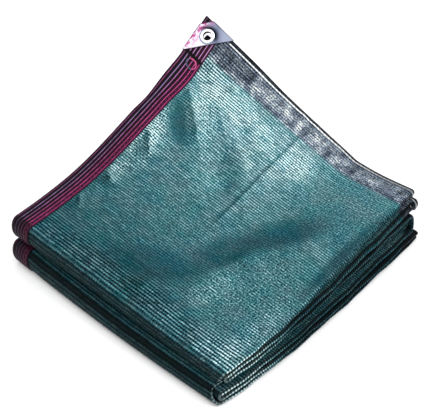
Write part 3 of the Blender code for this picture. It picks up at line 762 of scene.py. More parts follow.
glint = node(tree, "ShaderNodeMath", {"operation": "MULTIPLY_ADD"}, i0=row_chance, i1=9.0, i2=glint)
glint = node(tree, "ShaderNodeMath", {"operation": "FLOOR"}, i0=glint)
glint_cell = node(tree, "ShaderNodeCombineXYZ", X=glint, Y=row_number)
glint_chance = node(tree, "ShaderNodeTexWhiteNoise", {"noise_dimensions": "2D"}, Vector=glint_cell)

# Thin laid thread: a zigzag from row to row.
to_and_fro = node(tree, "ShaderNodeMath", {"operation": "PINGPONG"}, i0=loop, i1=1.0)
gap_share = node(tree, "ShaderNodeMath", {"operation": "ADD"}, i0=row, i1=0.5)
gap_share = node(tree, "ShaderNodeMath", {"operation": "FRACT"}, i0=gap_share)
from_laid = node(tree, "ShaderNodeMath", {"operation": "SUBTRACT"}, i0=gap_share, i1=to_and_fro)
from_laid = node(tree, "ShaderNodeMath", {"operation": "ABSOLUTE"}, i0=from_laid)
laid_thread = node(tree, "ShaderNodeMapRange", Value=from_laid, From_Min=0.26, From_Max=0.08, To_Max=0.5)
row_full = node(tree, "ShaderNodeMath", {"operation": "MULTIPLY"}, i0=row_thread, i1=loop_full)
thread = node(tree, "ShaderNodeMath", {"operation": "MAXIMUM"}, i0=row_full, i1=laid_thread)

# Paleness of each point: the sheet's own tone, raised or lowered by the rows' contrast, the
# glints and the speckle there.
tone_here = node(tree, "ShaderNodeAttribute", {"attribute_name": "tone"}).outputs["Fac"]
rows_here = node(tree, "ShaderNodeAttribute", {"attribute_name": "rows"}).outputs["Fac"]
speckle_here = node(tree, "ShaderNodeAttribute", {"attribute_name": "speckle"}).outputs["Fac"]
shade_here = node(tree, "ShaderNodeAttribute", {"attribute_name": "shade"}).outputs["Fac"]
ROW_CONTRAST, GLINT_CONTRAST, SPECK_CONTRAST, PALEST = 1.25, 0.8, 1.35, 0.745
speck = node(tree, "ShaderNodeTexNoise", Vector=uv, Scale=400.0, Detail=1.0, Roughness=0.6)
speck = node(tree, "ShaderNodeMapRange", {"clamp": False}, Value=speck, From_Min=0.32, From_Max=0.68,
             To_Min=-SPECK_CONTRAST / 2, To_Max=SPECK_CONTRAST / 2)
speck = node(tree, "ShaderNodeMath", {"operation": "MULTIPLY"}, i0=speck, i1=speckle_here)
by_row = node(tree, "ShaderNodeMath", {"operation": "MULTIPLY_ADD"}, i0=thread, i1=ROW_CONTRAST,
              i2=-0.5 * ROW_CONTRAST)
by_glint = node(tree, "ShaderNodeMath", {"operation": "MULTIPLY_ADD"}, i0=glint_chance, i1=GLINT_CONTRAST,
                i2=-0.45 * GLINT_CONTRAST)
by_glint = node(tree, "ShaderNodeMath", {"operation": "MULTIPLY"}, i0=by_glint, i1=thread)
gain = node(tree, "ShaderNodeMath", {"operation": "ADD"}, i0=by_row, i1=by_glint)
gain = node(tree, "ShaderNodeMath", {"operation": "MULTIPLY_ADD"}, i0=gain, i1=rows_here, i2=speck)
gain = node(tree, "ShaderNodeMath", {"operation": "MULTIPLY_ADD"}, i0=gain, i1=PALEST, i2=PALEST)
paleness = node(tree, "ShaderNodeMath", {"operation": "MULTIPLY"}, i0=gain, i1=tone_here)


def ramp(tree, value, stops):
    """Colours by value: stops are (place, sRGB hex)."""
    made = node(tree, "ShaderNodeValToRGB", i0=value)
    elements = made.color_ramp.elements
    while len(elements) > 1:
        elements.remove(elements[-1])
    elements[0].position, elements[0].color = stops[0][0], linear(stops[0][1])
    for place, code in stops[1:]:
        elements.new(place).color = linear(code)
    return made.outputs[0]


# The dye drifts a little in hue and strength over the cloth.
shift_cloud = node(tree, "ShaderNodeTexNoise", Vector=uv, Scale=15.0, Detail=3.0)
shift = node(tree, "ShaderNodeMapRange", Value=shift_cloud, From_Min=0.36, From_Max=0.64, To_Min=0.488,
             To_Max=0.504)
dull_cloud = node(tree, "ShaderNodeTexNoise", Vector=uv, Scale=31.0, Detail=3.0)
dull = node(tree, "ShaderNodeMapRange", Value=dull_cloud, From_Min=0.36, From_Max=0.64, To_Min=0.86,
            To_Max=1.06)
knit_colour = ramp(tree, paleness, (
    (0.0, "#02080A"), (0.18, "#14404A"), (0.4, "#44747C"),
    (0.65, "#84B0B8"), (0.9, "#C4E4E8"), (1.0, "#D8F2F2")))
knit_colour = node(tree, "ShaderNodeHueSaturation", Hue=shift, Saturation=dull, Color=knit_colour)

# The hem band, by distance from either selvedge: greyer and clouded, and dark at its very
# edge, partly its own darker edge and partly painted shade of the turned edge.
HEM_EDGE_DARK = 3.2 * MM
HEM_EDGE_FADE = 0.4 * MM
HEM_FADE_OUT, HEM_FADE_IN = 2 * MM, 4 * MM
from_last = node(tree, "ShaderNodeMath", {"operation": "SUBTRACT"}, i0=V_LAST, i1=across)
from_selvedge = node(tree, "ShaderNodeMath", {"operation": "MINIMUM"}, i0=across, i1=from_last)
in_hem = node(tree, "ShaderNodeMapRange", Value=from_selvedge, From_Min=HEM_WIDTH + HEM_FADE_OUT,
              From_Max=HEM_WIDTH - HEM_FADE_IN)
hem_cloud = node(tree, "ShaderNodeTexNoise", Vector=uv, Scale=70.0, Detail=3.0)
hem_gain = node(tree, "ShaderNodeMapRange", {"clamp": False}, Value=hem_cloud, From_Min=0.3, From_Max=0.7,
                To_Min=0.5, To_Max=1.4)
hem_pale = node(tree, "ShaderNodeMath", {"operation": "MULTIPLY"}, i0=hem_gain, i1=paleness)
hem_colour = ramp(tree, hem_pale, (
    (0.0, "#0A0C10"), (0.18, "#262C36"), (0.4, "#5C6878"),
    (0.65, "#98A4B0"), (0.9, "#D8E2E0"), (1.0, "#F6F8EE")))
cloth_colour = node(tree, "ShaderNodeMix", {"data_type": "RGBA"}, i0=in_hem, i6=knit_colour,
                    i7=hem_colour)
edge_dark = node(tree, "ShaderNodeMapRange", Value=from_selvedge, From_Min=HEM_EDGE_DARK + HEM_EDGE_FADE,
                 From_Max=HEM_EDGE_DARK, To_Max=0.9)
cloth_colour = node(tree, "ShaderNodeMix", {"data_type": "RGBA"}, i0=edge_dark, i6=cloth_colour,
                    i7=linear("#0A0B0E"))
# Painted shade: the shade attribute darkens the cloth towards near black.
cloth_colour = node(tree, "ShaderNodeMix", {"data_type": "RGBA"}, i0=shade_here, i6=cloth_colour,
                    i7=linear("#06090A"))
tree.links.new(cloth_colour.outputs[2], shader.inputs["Base Color"])

# Open holes between the threads, closed where the cloth lies in the dark, and the threads'
# relief.
HOLE_OPEN = 0.45
hole = node(tree, "ShaderNodeMath", {"operation": "SUBTRACT"}, i0=1.0, i1=thread)
hole = node(tree, "ShaderNodeMath", {"operation": "MULTIPLY"}, i0=hole, i1=rows_here)
in_light = node(tree, "ShaderNodeMath", {"operation": "SUBTRACT"}, i0=1.0, i1=shade_here)
hole = node(tree, "ShaderNodeMath", {"operation": "MULTIPLY"}, i0=hole, i1=in_light)
solid = node(tree, "ShaderNodeMath", {"operation": "MULTIPLY_ADD", "use_clamp": True}, i0=hole,
             i1=-HOLE_OPEN, i2=1.0)
tree.links.new(solid.outputs[0], shader.inputs["Alpha"])
relief = node(tree, "ShaderNodeBump", Height=thread, Strength=0.5, Distance=0.4 * MM)
tree.links.new(relief.outputs[0], shader.inputs["Normal"])
shader.inputs["Roughness"].default_value = 0.5
shader.inputs["IOR"].default_value = 1.45
shader.inputs["Specular IOR Level"].default_value = 0.03
net.data.materials.append(net_knit)
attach(net, "root")
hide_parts("shade_net")

# ---------------------------------------------------------------- edge binding
# A ribbed tape, woven of dark plum and pink polyester, is folded over both cut ends of the
# net and sewn through. Six raised ribs run along its outer face. One length is on the first
# ply and one on the last; by the plate a second layer of the same tape lies over the first.

TAPE_RIBS = 6
RIB_PITCH = TAPE_WIDTH / TAPE_RIBS
RIB_SAMPLES = 6
TAPE_FACE = 0.95 * MM            # middle of the net to the tape's lower side
TAPE_VALLEY = 0.30 * MM
RIB_HEIGHT = 0.62 * MM
RIB_WIDTH = 1.15 * MM
TAPE_EDGE = 1.0 * MM             # how far the tape reaches past the cut end
TAPE_BACK = 1.65 * MM            # middle of the net to the tape on its other side
TAPE_BACK_THICK = 0.55 * MM
TAPE_LAP = 0.1 * MM              # how much nearer the net its inner face lies
TAPE_INNER_EDGE = 0.3 * MM       # how far the inner face reaches past the cut end
TAPE_TURN_WALL = 0.5 * MM
TURN_STEPS = 6
BACK_STEPS = 8
SECOND_FROM = 50.5 * MM          # selvedge to the second layer's end, along the tape
GROOVE_WIDTH = 3.6 * MM          # width of the dark groove where it ends
SECOND_RAISE = 0.22 * MM
GROOVE_SINK = 0.55 * MM          # depth of that groove
SECOND_RAMP = 0.3                # rows over which the second layer's end comes down
GROOVE_ROWS = (-0.3, 0.0, 0.25, 0.75, 1.0, 1.3)  # extra rows across the groove, in its widths

# Across the tape: (inset from the cut end, height over the net's middle) outside and inside.
tape_outside, tape_inside = [], []
for i in range(TAPE_RIBS * RIB_SAMPLES + 1):
    inset = TAPE_WIDTH * (1 - i / (TAPE_RIBS * RIB_SAMPLES))
    from_crest = (inset / RIB_PITCH) % 1.0 - 0.5
    crest = math.exp(-(from_crest * RIB_PITCH / RIB_WIDTH) ** 2)
    tape_outside.append((inset, TAPE_FACE + TAPE_VALLEY + RIB_HEIGHT * crest))
    tape_inside.append((inset, TAPE_FACE - TAPE_LAP))
face_top, back_bottom = TAPE_FACE + TAPE_VALLEY, -TAPE_BACK - TAPE_BACK_THICK
edge_middle, edge_half = (face_top + back_bottom) / 2, (face_top - back_bottom) / 2
for i in range(1, TURN_STEPS):
    angle = math.pi * i / TURN_STEPS
    tape_outside.append((-TAPE_EDGE * math.sin(angle), edge_middle + edge_half * math.cos(angle)))
    tape_inside.append((-TAPE_INNER_EDGE * math.sin(angle),
                        edge_middle + (edge_half - TAPE_TURN_WALL) * math.cos(angle)))
for i in range(BACK_STEPS + 1):
    inset = TAPE_WIDTH * i / BACK_STEPS
    tape_outside.append((inset, back_bottom))
    tape_inside.append((inset, -TAPE_BACK + TAPE_LAP))

ROW_STEP = FOLDED / TOP_SPANS
second_end = SECOND_FROM / ROW_STEP
groove_rows = [second_end + (share - 0.5) * GROOVE_WIDTH / ROW_STEP for share in GROOVE_ROWS]
tape_rows = np.array(sorted(set(np.arange(STATION_COUNT, dtype=float)) | set(groove_rows)))


def tape_points(sections, edge_col, col_step, raised):
    """Points of the tape by row, and across it, from (inset, height) pairs."""
    insets, heights = np.array(sections).T
    cols = edge_col + np.maximum(insets, 0.0) / FOLDED * col_step
    base, up_from = on_cloth(tape_rows[:, None], cols[None, :])
    edge, _ = on_cloth(tape_rows, np.full(len(tape_rows), float(edge_col)))
    inner, _ = on_cloth(tape_rows, np.full(len(tape_rows), edge_col + TAPE_WIDTH / FOLDED * col_step))
    outward = unit(edge - inner)
    past_end = np.minimum(insets, 0.0)[None, :, None]
    heights = np.broadcast_to(heights, base.shape[:2]) + raised
    return base + up_from * heights[..., None] - outward[:, None, :] * past_end


# How dark the tape is painted: painted shade in its folds and on the panels under the top one,
# darker at the plate's tip, and painted shade in the groove where the second layer ends.
FOLD_DARK, UNDER_DARK, PLATE_DARK = 0.74, 0.6, 0.7
PLATE_DARK_TO, PLATE_DARK_FADE = 17 * MM, 4 * MM
GROOVE_DARK, GROOVE_REACH = 1.8, 0.55 * GROOVE_WIDTH
BACK_FROM = TAPE_WIDTH + 0.2 * RIB_PITCH         # where the plain back starts in the UV map


def build_tape(name, edge_col, col_step, doubled):
    """One length of binding as a closed piece, with the ribs' places in its UV map."""
    on_second = smooth((second_end - tape_rows) / SECOND_RAMP) if doubled else np.zeros(len(tape_rows))
    from_groove = (tape_rows - second_end) * ROW_STEP / GROOVE_REACH
    in_groove = np.clip(GROOVE_DARK * np.exp(-from_groove ** 2), 0, 1) * doubled
    insets, heights = np.array(tape_outside).T
    ribbed = (heights > 0) & (insets > 0)
    raised = (SECOND_RAISE * on_second - GROOVE_SINK * in_groove)[:, None] * ribbed
    outer = tape_points(tape_outside, edge_col, col_step, raised)
    inner = tape_points(tape_inside, edge_col, col_step, np.zeros_like(raised))
    across = np.where(heights > 0, TAPE_WIDTH - insets, BACK_FROM + np.maximum(insets, 0.0))
    if col_step > 0:
        outer, inner, across = outer[:, ::-1], inner[:, ::-1], across[::-1]
    run = run_lengths(np.linalg.norm(np.diff(outer, axis=0), axis=2).mean(1))
    uv = np.stack(np.broadcast_arrays(across[None, :], run[:, None]), -1)
    rows = tape_rows.astype(int)
    next_rows = np.minimum(rows + 1, STATION_COUNT - 1)
    fold_here = (in_fold[rows] | in_fold[next_rows])[:, 0]
    dark = np.where(fold_here, FOLD_DARK, np.where(station_panel[rows, 0] > 0, UNDER_DARK, 0.0))
    dark = dark + PLATE_DARK * doubled * smooth((PLATE_DARK_TO - tape_rows * ROW_STEP) / PLATE_DARK_FADE)
    by_row = {"shade": dark, "second_layer": on_second, "gap": in_groove}
    attributes = {key: np.broadcast_to(values[:, None], outer.shape[:2]) for key, values in by_row.items()}
    return shell_mesh(name, outer, inner, uv, attributes, punched(outer)), float(run[-1])


# Woven polyester tape: near-black plum ground, with the ribs' pink and lilac yarn showing as
# short slanting floats along each crest.
FLOAT_LENGTH = 3.2 * MM          # drawn longer than real floats, to show
# Painted sheen: the yarn is painted brighter towards the plate.
PLATE_SHINE_TO, PLATE_SHINE_FROM = 80 * MM, 240 * MM     # the yarn is brighter towards the plate
tape_weave, tree, shader = new_material("woven polyester binding tape")
uv = node(tree, "ShaderNodeUVMap", {"uv_map": "cloth"})
flat_place = node(tree, "ShaderNodeSeparateXYZ", Vector=uv)
across, along = flat_place.outputs[0], flat_place.outputs[1]
rib = node(tree, "ShaderNodeMath", {"operation": "DIVIDE"}, i0=across, i1=RIB_PITCH)
rib_share = node(tree, "ShaderNodeMath", {"operation": "FRACT"}, i0=rib)
from_crest = node(tree, "ShaderNodeMath", {"operation": "SUBTRACT"}, i0=rib_share, i1=0.5)
off_crest = node(tree, "ShaderNodeMath", {"operation": "ABSOLUTE"}, i0=from_crest)
crest = node(tree, "ShaderNodeMapRange", {"interpolation_type": "SMOOTHSTEP"}, Value=off_crest,
             From_Min=0.18, From_Max=0.05)
float_at = node(tree, "ShaderNodeMath", {"operation": "DIVIDE"}, i0=along, i1=FLOAT_LENGTH)
float_at = node(tree, "ShaderNodeMath", {"operation": "ADD"}, i0=float_at, i1=from_crest)
float_share = node(tree, "ShaderNodeMath", {"operation": "PINGPONG"}, i0=float_at, i1=0.5)
float_full = node(tree, "ShaderNodeMapRange", Value=float_share, From_Min=0.0, From_Max=0.2, To_Min=0.45,
                  To_Max=1.0)
rib_number = node(tree, "ShaderNodeMath", {"operation": "FLOOR"}, i0=rib)
float_number = node(tree, "ShaderNodeMath", {"operation": "FLOOR"}, i0=float_at)
float_cell = node(tree, "ShaderNodeCombineXYZ", X=float_number, Y=rib_number)
float_chance = node(tree, "ShaderNodeTexWhiteNoise", {"noise_dimensions": "2D"}, Vector=float_cell)
float_gain = node(tree, "ShaderNodeMapRange", Value=float_chance, To_Min=0.6, To_Max=1.15)
patchy = node(tree, "ShaderNodeTexNoise", Vector=uv, Scale=45.0, Detail=2.0)
patchy = node(tree, "ShaderNodeMapRange", Value=patchy, From_Min=0.3, From_Max=0.7, To_Min=0.65,
              To_Max=1.1)
by_plate = node(tree, "ShaderNodeMapRange", Value=along, From_Min=PLATE_SHINE_TO,
                From_Max=PLATE_SHINE_FROM, To_Min=1.5, To_Max=0.95)
patchy = node(tree, "ShaderNodeMath", {"operation": "MULTIPLY"}, i0=patchy, i1=by_plate)
yarn = node(tree, "ShaderNodeMath", {"operation": "MULTIPLY"}, i0=crest, i1=float_full)
yarn = node(tree, "ShaderNodeMath", {"operation": "MULTIPLY"}, i0=yarn, i1=float_gain)
yarn = node(tree, "ShaderNodeMath", {"operation": "MULTIPLY", "use_clamp": True}, i0=yarn, i1=patchy)
over_width = node(tree, "ShaderNodeMath", {"operation": "DIVIDE"}, i0=across, i1=TAPE_WIDTH)
rib_colour = ramp(tree, over_width, (
    (0.0, "#962C68"), (0.12, "#B23C80"), (0.28, "#B24484"), (0.45, "#A24C84"), (0.60, "#9C6498"),
    (0.74, "#88709A"), (0.88, "#7A4470"), (1.0, "#7C1C4C")))
second_here = node(tree, "ShaderNodeAttribute", {"attribute_name": "second_layer"})
rib_colour = node(tree, "ShaderNodeMix", {"data_type": "RGBA"}, i0=second_here.outputs["Fac"],
                  i6=rib_colour, i7=linear("#A878A8"))
ground = ramp(tree, over_width, (
    (0.0, "#30081F"), (0.3, "#260818"), (0.5, "#14060F"), (0.8, "#09050B"), (1.0, "#15060F")))
tape_colour = node(tree, "ShaderNodeMix", {"data_type": "RGBA"}, i0=yarn, i6=ground, i7=rib_colour)
# Painted shade: the shade and gap attributes darken the tape towards near black.
tape_shade = node(tree, "ShaderNodeAttribute", {"attribute_name": "shade"})
tape_gap = node(tree, "ShaderNodeAttribute", {"attribute_name": "gap"})
tape_dark = node(tree, "ShaderNodeMath", {"operation": "MAXIMUM"}, i0=tape_shade.outputs["Fac"],
                 i1=tape_gap.outputs["Fac"])
tape_colour = node(tree, "ShaderNodeMix", {"data_type": "RGBA"}, i0=tape_dark, i6=tape_colour,
                   i7=linear("#0B0509"))
tree.links.new(tape_colour.outputs[2], shader.inputs["Base Color"])
tape_relief = node(tree, "ShaderNodeBump", Height=yarn, Strength=0.5, Distance=0.3 * MM)
tree.links.new(tape_relief.outputs[0], shader.inputs["Normal"])
shader.inputs["Roughness"].default_value = 0.6
shader.inputs["Specular IOR Level"].default_value = 0.08

LAST_COL = cloth.shape[1] - 1
for name, stands_for, edge_col, col_step in (("binding_ply1", "edge_tape_ply1", 0, TOP_SPANS),
                                             ("binding_ply4", "edge_tape_ply4", LAST_COL, -SPANS)):
    tape, tape_length = build_tape(name, edge_col, col_step, edge_col == 0)
    tape.data.materials.append(tape_weave)
    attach(tape, "root")
    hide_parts(stands_for)

# ---------------------------------------------------------------- edge cord
# A white cord of two laid strands of polypropylene, pressed oval, is sewn along the hem's
# outer face beside the first selvedge, from the plate to the far cut end. It is white beside
# the plate and greyer further along.

CORD_INSET = 5.3 * MM
CORD_HALF_WIDTH = 1.0 * MM
CORD_HALF_HEIGHT = 0.85 * MM
CORD_RISE = 1.25 * MM            # middle of the net to the cord's middle
CORD_LAY = 7.0 * MM              # length of one turn of its strands
CORD_STEP = 1.5 * MM
CORD_SIDES = 14
CORD_FROM = 55.0 * MM            # cut end to the cord's first end, beside the plate
SEAM_END = 37 * MM               # its last end, and the seam's, to the other cut end
CORD_GROOVE = 0.13               # depth of the groove between strands, as a share of the radius

selvedge_run = run_lengths(np.linalg.norm(np.diff(cloth[1], axis=0), axis=1))


def seam_places(inset, first, step):
    """Points, outer normals and lengths at even steps along a line beside the first selvedge."""
    lengths = np.arange(first, selvedge_run[-1] - SEAM_END, step)
    cols = np.interp(lengths, selvedge_run, np.arange(len(selvedge_run)))
    points, up_from = on_cloth(np.full(len(cols), inset / ROW_STEP), cols)
    return points, up_from, lengths


def circle(count):
    """Even angles round a circle."""
    return np.linspace(0.0, 2 * math.pi, count, endpoint=False)


def laid_tube(name, line, forward, up_from, width, height, closed):
    """A tube along a line, with its half width and half height at each ring and side.

    Closed, its last ring meets its first; otherwise both ends are capped.
    """
    rings, sides = width.shape
    aside = np.cross(up_from, unit(forward))
    points = (line[:, None] + aside[:, None] * (np.cos(circle(sides)) * width)[..., None]
              + up_from[:, None] * (np.sin(circle(sides)) * height)[..., None])
    index = np.arange(rings * sides).reshape(rings, sides)
    over = np.roll(index, -1, axis=1)
    faces = np.stack([index, over, np.roll(over, -1, axis=0), np.roll(index, -1, axis=0)], -1)
    faces = (faces if closed else faces[:-1]).reshape(-1, 4).tolist()
    if not closed:
        faces += [index[0, ::-1].tolist(), index[-1].tolist()]
    mesh = bpy.data.meshes.new(name)
    mesh.from_pydata(placed(points), [], faces)
    mesh.shade_smooth()
    return add_object(name, mesh)


cord_line, cord_up, cord_lengths = seam_places(CORD_INSET, CORD_FROM, CORD_STEP)
lay_angle = math.pi * cord_lengths[:, None] / CORD_LAY
strands = 1 + CORD_GROOVE * np.cos(2 * (circle(CORD_SIDES)[None, :] - lay_angle))
cord = laid_tube("edge_cord_laid", cord_line + cord_up * CORD_RISE, np.gradient(cord_line, axis=0), cord_up,
                 CORD_HALF_WIDTH * strands, CORD_HALF_HEIGHT * strands, False)
cord_uv = cord.data.uv_layers.new(name="cord")
for corner in cord.data.loops:
    ring, side = divmod(corner.vertex_index, CORD_SIDES)
    cord_uv.uv[corner.index].vector = (side / CORD_SIDES, cord_lengths[ring])

# Laid polypropylene: white glossy filaments, with painted shade in the grooves between the
# strands, and greyer away from the plate.
CORD_WHITE_TO, CORD_GREY_FROM = 220 * MM, 400 * MM
cord_fibre, tree, shader = new_material("laid white polypropylene cord")
uv = node(tree, "ShaderNodeUVMap", {"uv_map": "cord"})
cord_place = node(tree, "ShaderNodeSeparateXYZ", Vector=uv)
round_cord, along = cord_place.outputs[0], cord_place.outputs[1]
lay_turn = node(tree, "ShaderNodeMath", {"operation": "MULTIPLY"}, i0=along, i1=1.0 / CORD_LAY)
lay_at = node(tree, "ShaderNodeMath", {"operation": "MULTIPLY_ADD"}, i0=round_cord, i1=-2.0, i2=lay_turn)
lay_share = node(tree, "ShaderNodeMath", {"operation": "PINGPONG"}, i0=lay_at, i1=0.5)
cord_colour = ramp(tree, lay_share, (
    (0.0, "#8E949E"), (0.12, "#D4D9DC"), (0.3, "#F7FAFA"), (0.5, "#FFFFFF")))
far_grey = node(tree, "ShaderNodeMapRange", {"interpolation_type": "SMOOTHSTEP"}, Value=along,
              From_Min=CORD_WHITE_TO, From_Max=CORD_GREY_FROM, To_Max=0.78)
cord_colour = node(tree, "ShaderNodeMix", {"data_type": "RGBA"}, i0=far_grey, i6=cord_colour,
                   i7=linear("#3C434C"))
tree.links.new(cord_colour.outputs[2], shader.inputs["Base Color"])
cord_relief = node(tree, "ShaderNodeBump", Height=lay_share, Strength=0.4, Distance=0.4 * MM)
tree.links.new(cord_relief.outputs[0], shader.inputs["Normal"])
shader.inputs["Roughness"].default_value = 0.4
cord.data.materials.append(cord_fibre)
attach(cord, "root")
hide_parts("edge_cord")

# ---------------------------------------------------------------- seam stitches
# Grey straw polyester thread in long running stitches holds the turned hem, and a dark red
# thread holds the binding between its two innermost ribs. A sewing machine makes both.

SEAM_INSET = 15 * MM
SEAM_FROM = 46 * MM
SEAM_STEP = 4 * MM
SEAM_RISE = 0.25 * MM            # cloth's face to the middle of the hem's thread
BINDING_RISE = 0.05 * MM         # and of the binding's, which is drawn in between the ribs
STITCH_LENGTH = 4.6 * MM
STITCH_PITCH = 7.0 * MM
THREAD_RADIUS = 0.34 * MM
STITCH_SIDES = 6
STITCH_SEED = 7
SMALLEST, LARGEST = 0.86, 1.08   # range of a stitch's size, by chance


def stitch_tree(name, material):
    """Geometry Nodes: one rounded stitch after another along a line."""
    made = bpy.data.node_groups.new(name, "GeometryNodeTree")
    for label, kind in (("Line", "NodeSocketGeometry"), ("Pitch", "NodeSocketFloat"),
                        ("Length", "NodeSocketFloat"), ("Thread radius", "NodeSocketFloat"),
                        ("Seed", "NodeSocketInt")):
        made.interface.new_socket(label, in_out="INPUT", socket_type=kind)
    made.interface.new_socket("Stitches", in_out="OUTPUT", socket_type="NodeSocketGeometry")
    given = node(made, "NodeGroupInput")
    line = node(made, "GeometryNodeMeshToCurve", Mesh=given.outputs["Line"])
    places = node(made, "GeometryNodeCurveToPoints", {"mode": "LENGTH"}, Curve=line,
                  Length=given.outputs["Pitch"])
    turned = node(made, "FunctionNodeAlignRotationToVector", {"axis": "Z"},
                  Vector=places.outputs["Tangent"])
    wobble = node(made, "FunctionNodeRandomValue", {"data_type": "FLOAT"}, Min=SMALLEST, Max=LARGEST,
                  Seed=given.outputs["Seed"])
    half = node(made, "ShaderNodeMath", {"operation": "MULTIPLY"}, i0=given.outputs["Length"], i1=0.5)
    stitch = node(made, "GeometryNodeMeshUVSphere", Segments=STITCH_SIDES, Rings=STITCH_SIDES, Radius=1.0)
    size = node(made, "ShaderNodeCombineXYZ", X=given.outputs["Thread radius"],
                Y=given.outputs["Thread radius"], Z=half)
    size = node(made, "ShaderNodeVectorMath", {"operation": "SCALE"}, i0=size, Scale=wobble)
    sewn = node(made, "GeometryNodeInstanceOnPoints", Points=places.outputs["Points"],
                Instance=stitch.outputs["Mesh"], Rotation=turned, Scale=size)
    real = node(made, "GeometryNodeRealizeInstances", Geometry=sewn)
    painted = node(made, "GeometryNodeSetMaterial", Geometry=real, Material=material)
    node(made, "NodeGroupOutput", Stitches=painted)
    return made


def sew(name, line_points, material):
    """Runs the stitch tree along a polyline and keeps its result as a plain mesh."""
    mesh = bpy.data.meshes.new(name + "_line")
    mesh.from_pydata(placed(line_points), [(i, i + 1) for i in range(len(line_points) - 1)], [])
    guide = add_object(name + "_line", mesh)
    made = stitch_tree(name + " seam", material)
    modifier = guide.modifiers.new("stitches", "NODES")
    modifier.node_group = made
    sockets = {item.name: item.identifier for item in made.interface.items_tree if item.in_out == "INPUT"}
    modifier[sockets["Pitch"]] = STITCH_PITCH
    modifier[sockets["Length"]] = STITCH_LENGTH
    modifier[sockets["Thread radius"]] = THREAD_RADIUS
    modifier[sockets["Seed"]] = STITCH_SEED
    bpy.context.view_layer.update()
    evaluated = guide.evaluated_get(bpy.context.evaluated_depsgraph_get())
    sewn_mesh = bpy.data.meshes.new_from_object(evaluated)
    bpy.data.objects.remove(guide)
    sewn_mesh.shade_smooth()
    seam = add_object(name, sewn_mesh)
    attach(seam, "root")


# Spun polyester thread: twisted yarn, drawn as fine slanting bands of painted light and shade
# along its twist.
THREAD_TWIST = 1.4 * MM
WAVE_SCALE = 0.31                # makes a diagonal wave's band about one twist long


def thread_material(name, pale, dark, shaded_side=None):
    """Twisted thread, its twist painted in a lit and a shaded band of one colour; where the painted shade
    mix attribute is set, the shaded-side colour takes over.
    """
    made, tree, shader = new_material(name)
    place = node(tree, "ShaderNodeTexCoord")
    bands = node(tree, "ShaderNodeTexWave", {"wave_type": "BANDS", "bands_direction": "DIAGONAL"},
                 Vector=place.outputs["Object"], Scale=WAVE_SCALE / THREAD_TWIST, Distortion=1.5)
    colour = ramp(tree, bands.outputs["Fac"], ((0.2, dark), (0.6, pale)))
    if shaded_side:
        painted_shade_mix = node(tree, "ShaderNodeAttribute", {"attribute_name": "painted_shade_mix"})
        colour = node(tree, "ShaderNodeMix", {"data_type": "RGBA"}, i0=painted_shade_mix.outputs["Fac"], i6=colour,
                      i7=linear(shaded_side)).outputs[2]
    tree.links.new(colour, shader.inputs["Base Color"])
    twist = node(tree, "ShaderNodeBump", Height=bands.outputs["Fac"], Strength=0.5, Distance=0.15 * MM)
    tree.links.new(twist.outputs[0], shader.inputs["Normal"])
    shader.inputs["Roughness"].default_value = 0.6
    return made


pale_thread = thread_material("spun polyester thread, straw", "#A8A890", "#6A6C62")
red_thread = thread_material("spun polyester thread, dark red", "#8C2A58", "#3A1024")
seam_line, seam_up, _ = seam_places(SEAM_INSET, SEAM_FROM, SEAM_STEP)
sew("hem_seam", seam_line + seam_up * (THREAD_LAYER / 2 + SEAM_RISE), pale_thread)
binding_rows = np.arange(second_end + 1.5, STATION_COUNT - 1.0, 1.0)
binding_cols = np.full(len(binding_rows), (TAPE_WIDTH - RIB_PITCH) / FOLDED * TOP_SPANS)
binding_line, binding_up = on_cloth(binding_rows, binding_cols)
sew("binding_seam", binding_line + binding_up * (face_top + BINDING_RISE), red_thread)

# The bar tack: a closed oval of thick pink thread that locks the second layer of tape. Its side
# away from the key light is painted slate, as painted shade.
TACK_X, TACK_Y = 21.5 * MM, 59.5 * MM        # inset from the cut end, distance from the selvedge
TACK_HALF_X, TACK_HALF_Y = 8.2 * MM, 6.0 * MM
TACK_THREAD = 0.95 * MM          # half width of its wrapped thread
TACK_FLATNESS = 0.7
TACK_WRAPS, WRAP_DEPTH = 22, 0.16
TACK_RISE = 1.75 * MM
TACK_RINGS, TACK_SIDES = 96, 10
SHADED_SIDE_FROM, SHADED_SIDE_OVER = -0.5, 1.2

turn_at = circle(TACK_RINGS)
tack_inset = TACK_X + TACK_HALF_X * np.cos(turn_at)
tack_line, tack_up = on_cloth((TACK_Y + TACK_HALF_Y * np.sin(turn_at)) / ROW_STEP,
                              tack_inset / FOLDED * TOP_SPANS)
tack_line = tack_line + tack_up * TACK_RISE
tack_forward = np.roll(tack_line, -1, axis=0) - np.roll(tack_line, 1, axis=0)
wraps = TACK_THREAD * (1 + WRAP_DEPTH * np.cos(turn_at * TACK_WRAPS))
wraps = np.repeat(wraps[:, None], TACK_SIDES, axis=1)
bar_tack = laid_tube("bar_tack", tack_line, tack_forward, tack_up, wraps, TACK_FLATNESS * wraps, True)
shaded_side = smooth((np.sin(turn_at) - np.cos(turn_at) - SHADED_SIDE_FROM) / SHADED_SIDE_OVER)
tack_painted_shade = bar_tack.data.attributes.new("painted_shade_mix", "FLOAT", "POINT")
tack_painted_shade.data.foreach_set("value", np.repeat(shaded_side, TACK_SIDES).astype(np.float32))
bar_tack.data.materials.append(
    thread_material("spun polyester thread, pink, with painted slate shade", "#D8508C", "#7A2850", "#3A4A5C"))
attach(bar_tack, "root")

# ---------------------------------------------------------------- corner plate
# A triangular plate of rolled aluminium, with its tip cut off and its edges rolled down,
# lies over the corner and is held by the eyelet, which presses a shallow groove round itself.

PLATE_LEG = 55 * MM
PLATE_TIP_CUT = 15 * MM
PLATE_OVERHANG = 1.6 * MM
PLATE_UNDER = 2.25 * MM          # plane of the corner to the plate's lower side
PLATE_THICK = 0.8 * MM
PLATE_ROUNDING = 2.0 * MM
EDGE_ROLL = 0.45 * MM
